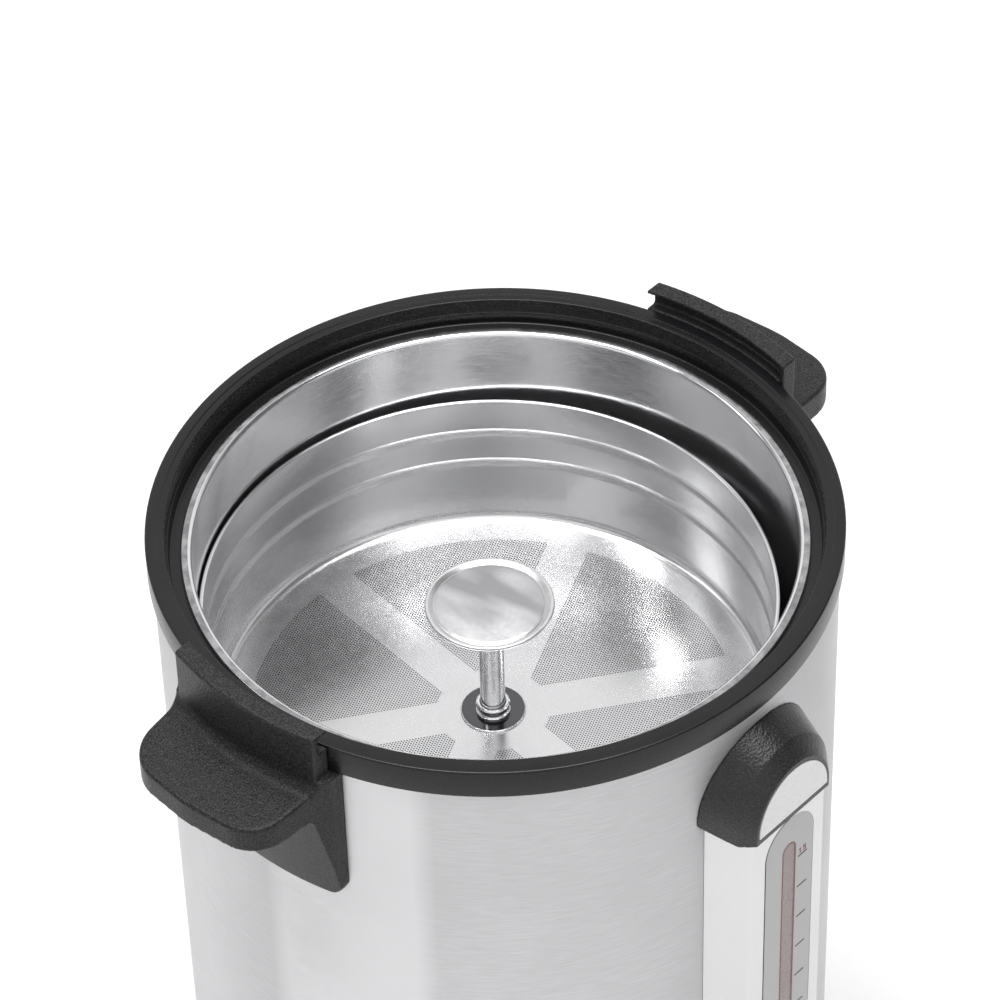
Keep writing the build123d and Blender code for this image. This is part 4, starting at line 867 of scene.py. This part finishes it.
def plate_edge(grow):
    """Left edge and left half of the top, drawn outward by a distance."""
    half, rise = PLATE_HALF + grow, PLATE_TOP - PLATE_SHOULDER + grow
    turns = [math.pi / 2 * i / EDGE_ARC_STEPS for i in range(EDGE_ARC_STEPS + 1)]
    round_part = [(-half * math.cos(turn), PLATE_SHOULDER + rise * math.sin(turn)) for turn in turns]
    return [(-half, PLATE_LOW), *round_part]


inside, outside = plate_edge(LINE_INSIDE), plate_edge(LINE_OUTSIDE)
stretches = [[a, b, d, c] for a, b, c, d in zip(inside, inside[1:], outside, outside[1:])]
# Painted shadow: a thin dark strip in the rubber paint along the gap beside the window.
printed("window_gap_shadow", "rubber", stretches)

# ---- Stage and lights ---------------------------------------------------------------------------

FLOOR_HALF = 6
LIT_POINT = Vector((0, 0, 0.42))

floor_mesh = bpy.data.meshes.new("floor")
floor_corners = [(x * FLOOR_HALF, y * FLOOR_HALF, 0) for x, y in ((-1, -1), (1, -1), (1, 1), (-1, 1))]
floor_mesh.from_pydata(floor_corners, [], [(0, 1, 2, 3)])
floor = add_object("floor", floor_mesh)
floor_paint = Paint("floor")
floor_tone = floor_paint.noise(floor_paint.coordinates, scale=3, detail=2)
floor_paint.set(
    Base_Color=floor_paint.blend(floor_tone, (0.90, 0.90, 0.90), (0.93, 0.93, 0.93)),
    Roughness=0.8,
)
floor_mesh.materials.append(floor_paint.material)


def lamp(name, azimuth, elevation, distance, size, power):
    """Soft rectangular light aimed at the urn's mouth; azimuth 0 is the camera's side."""
    data = bpy.data.lights.new(name, "AREA")
    data.shape = "RECTANGLE"
    data.size, data.size_y = size
    data.energy = power
    light = add_object(name, data)
    away = outward(AZIMUTH + math.radians(azimuth), math.radians(elevation))
    light.location = away * distance + LIT_POINT
    light.rotation_euler = away.to_track_quat("Z", "Y").to_euler()


lamp("top_light", 0, 88, 2.2, (1.5, 1.5), 60)
lamp("left_light", -100, 30, 2.0, (0.5, 1.6), 5)
lamp("shoulder_light", -83, 60, 2.0, (0.25, 0.25), 4)

# ---- Studio walls: bright behind the camera and behind the urn, darker to both sides ------------

DIM_WALL, BRIGHT_WALL = 0.15, 1.0
DIM_UP_TO, BRIGHT_FROM = 0.2, 0.7  # share of a direction that lies along the camera's own

world = bpy.data.worlds.new("studio")
bpy.context.scene.world = world
world.use_nodes = True
sky = world.node_tree
background = sky.nodes["Background"]
background.inputs["Color"].default_value = (1, 1, 1, 1)

direction = sky.nodes.new("ShaderNodeTexCoord").outputs["Generated"]
share = sky.nodes.new("ShaderNodeVectorMath")
share.operation = "DOT_PRODUCT"
share.inputs[1].default_value = outward(AZIMUTH, 0)
sky.links.new(direction, share.inputs[0])
either_way = sky.nodes.new("ShaderNodeMath")
either_way.operation = "ABSOLUTE"
sky.links.new(share.outputs["Value"], either_way.inputs[0])
shade = sky.nodes.new("ShaderNodeMapRange")
shade.interpolation_type = "SMOOTHSTEP"
shade.inputs["From Min"].default_value = DIM_UP_TO
shade.inputs["From Max"].default_value = BRIGHT_FROM
shade.inputs["To Min"].default_value = DIM_WALL
shade.inputs["To Max"].default_value = BRIGHT_WALL
sky.links.new(either_way.outputs[0], shade.inputs["Value"])
sky.links.new(shade.outputs[0], background.inputs["Strength"])
bpy.context.scene.view_settings.view_transform = "Standard"
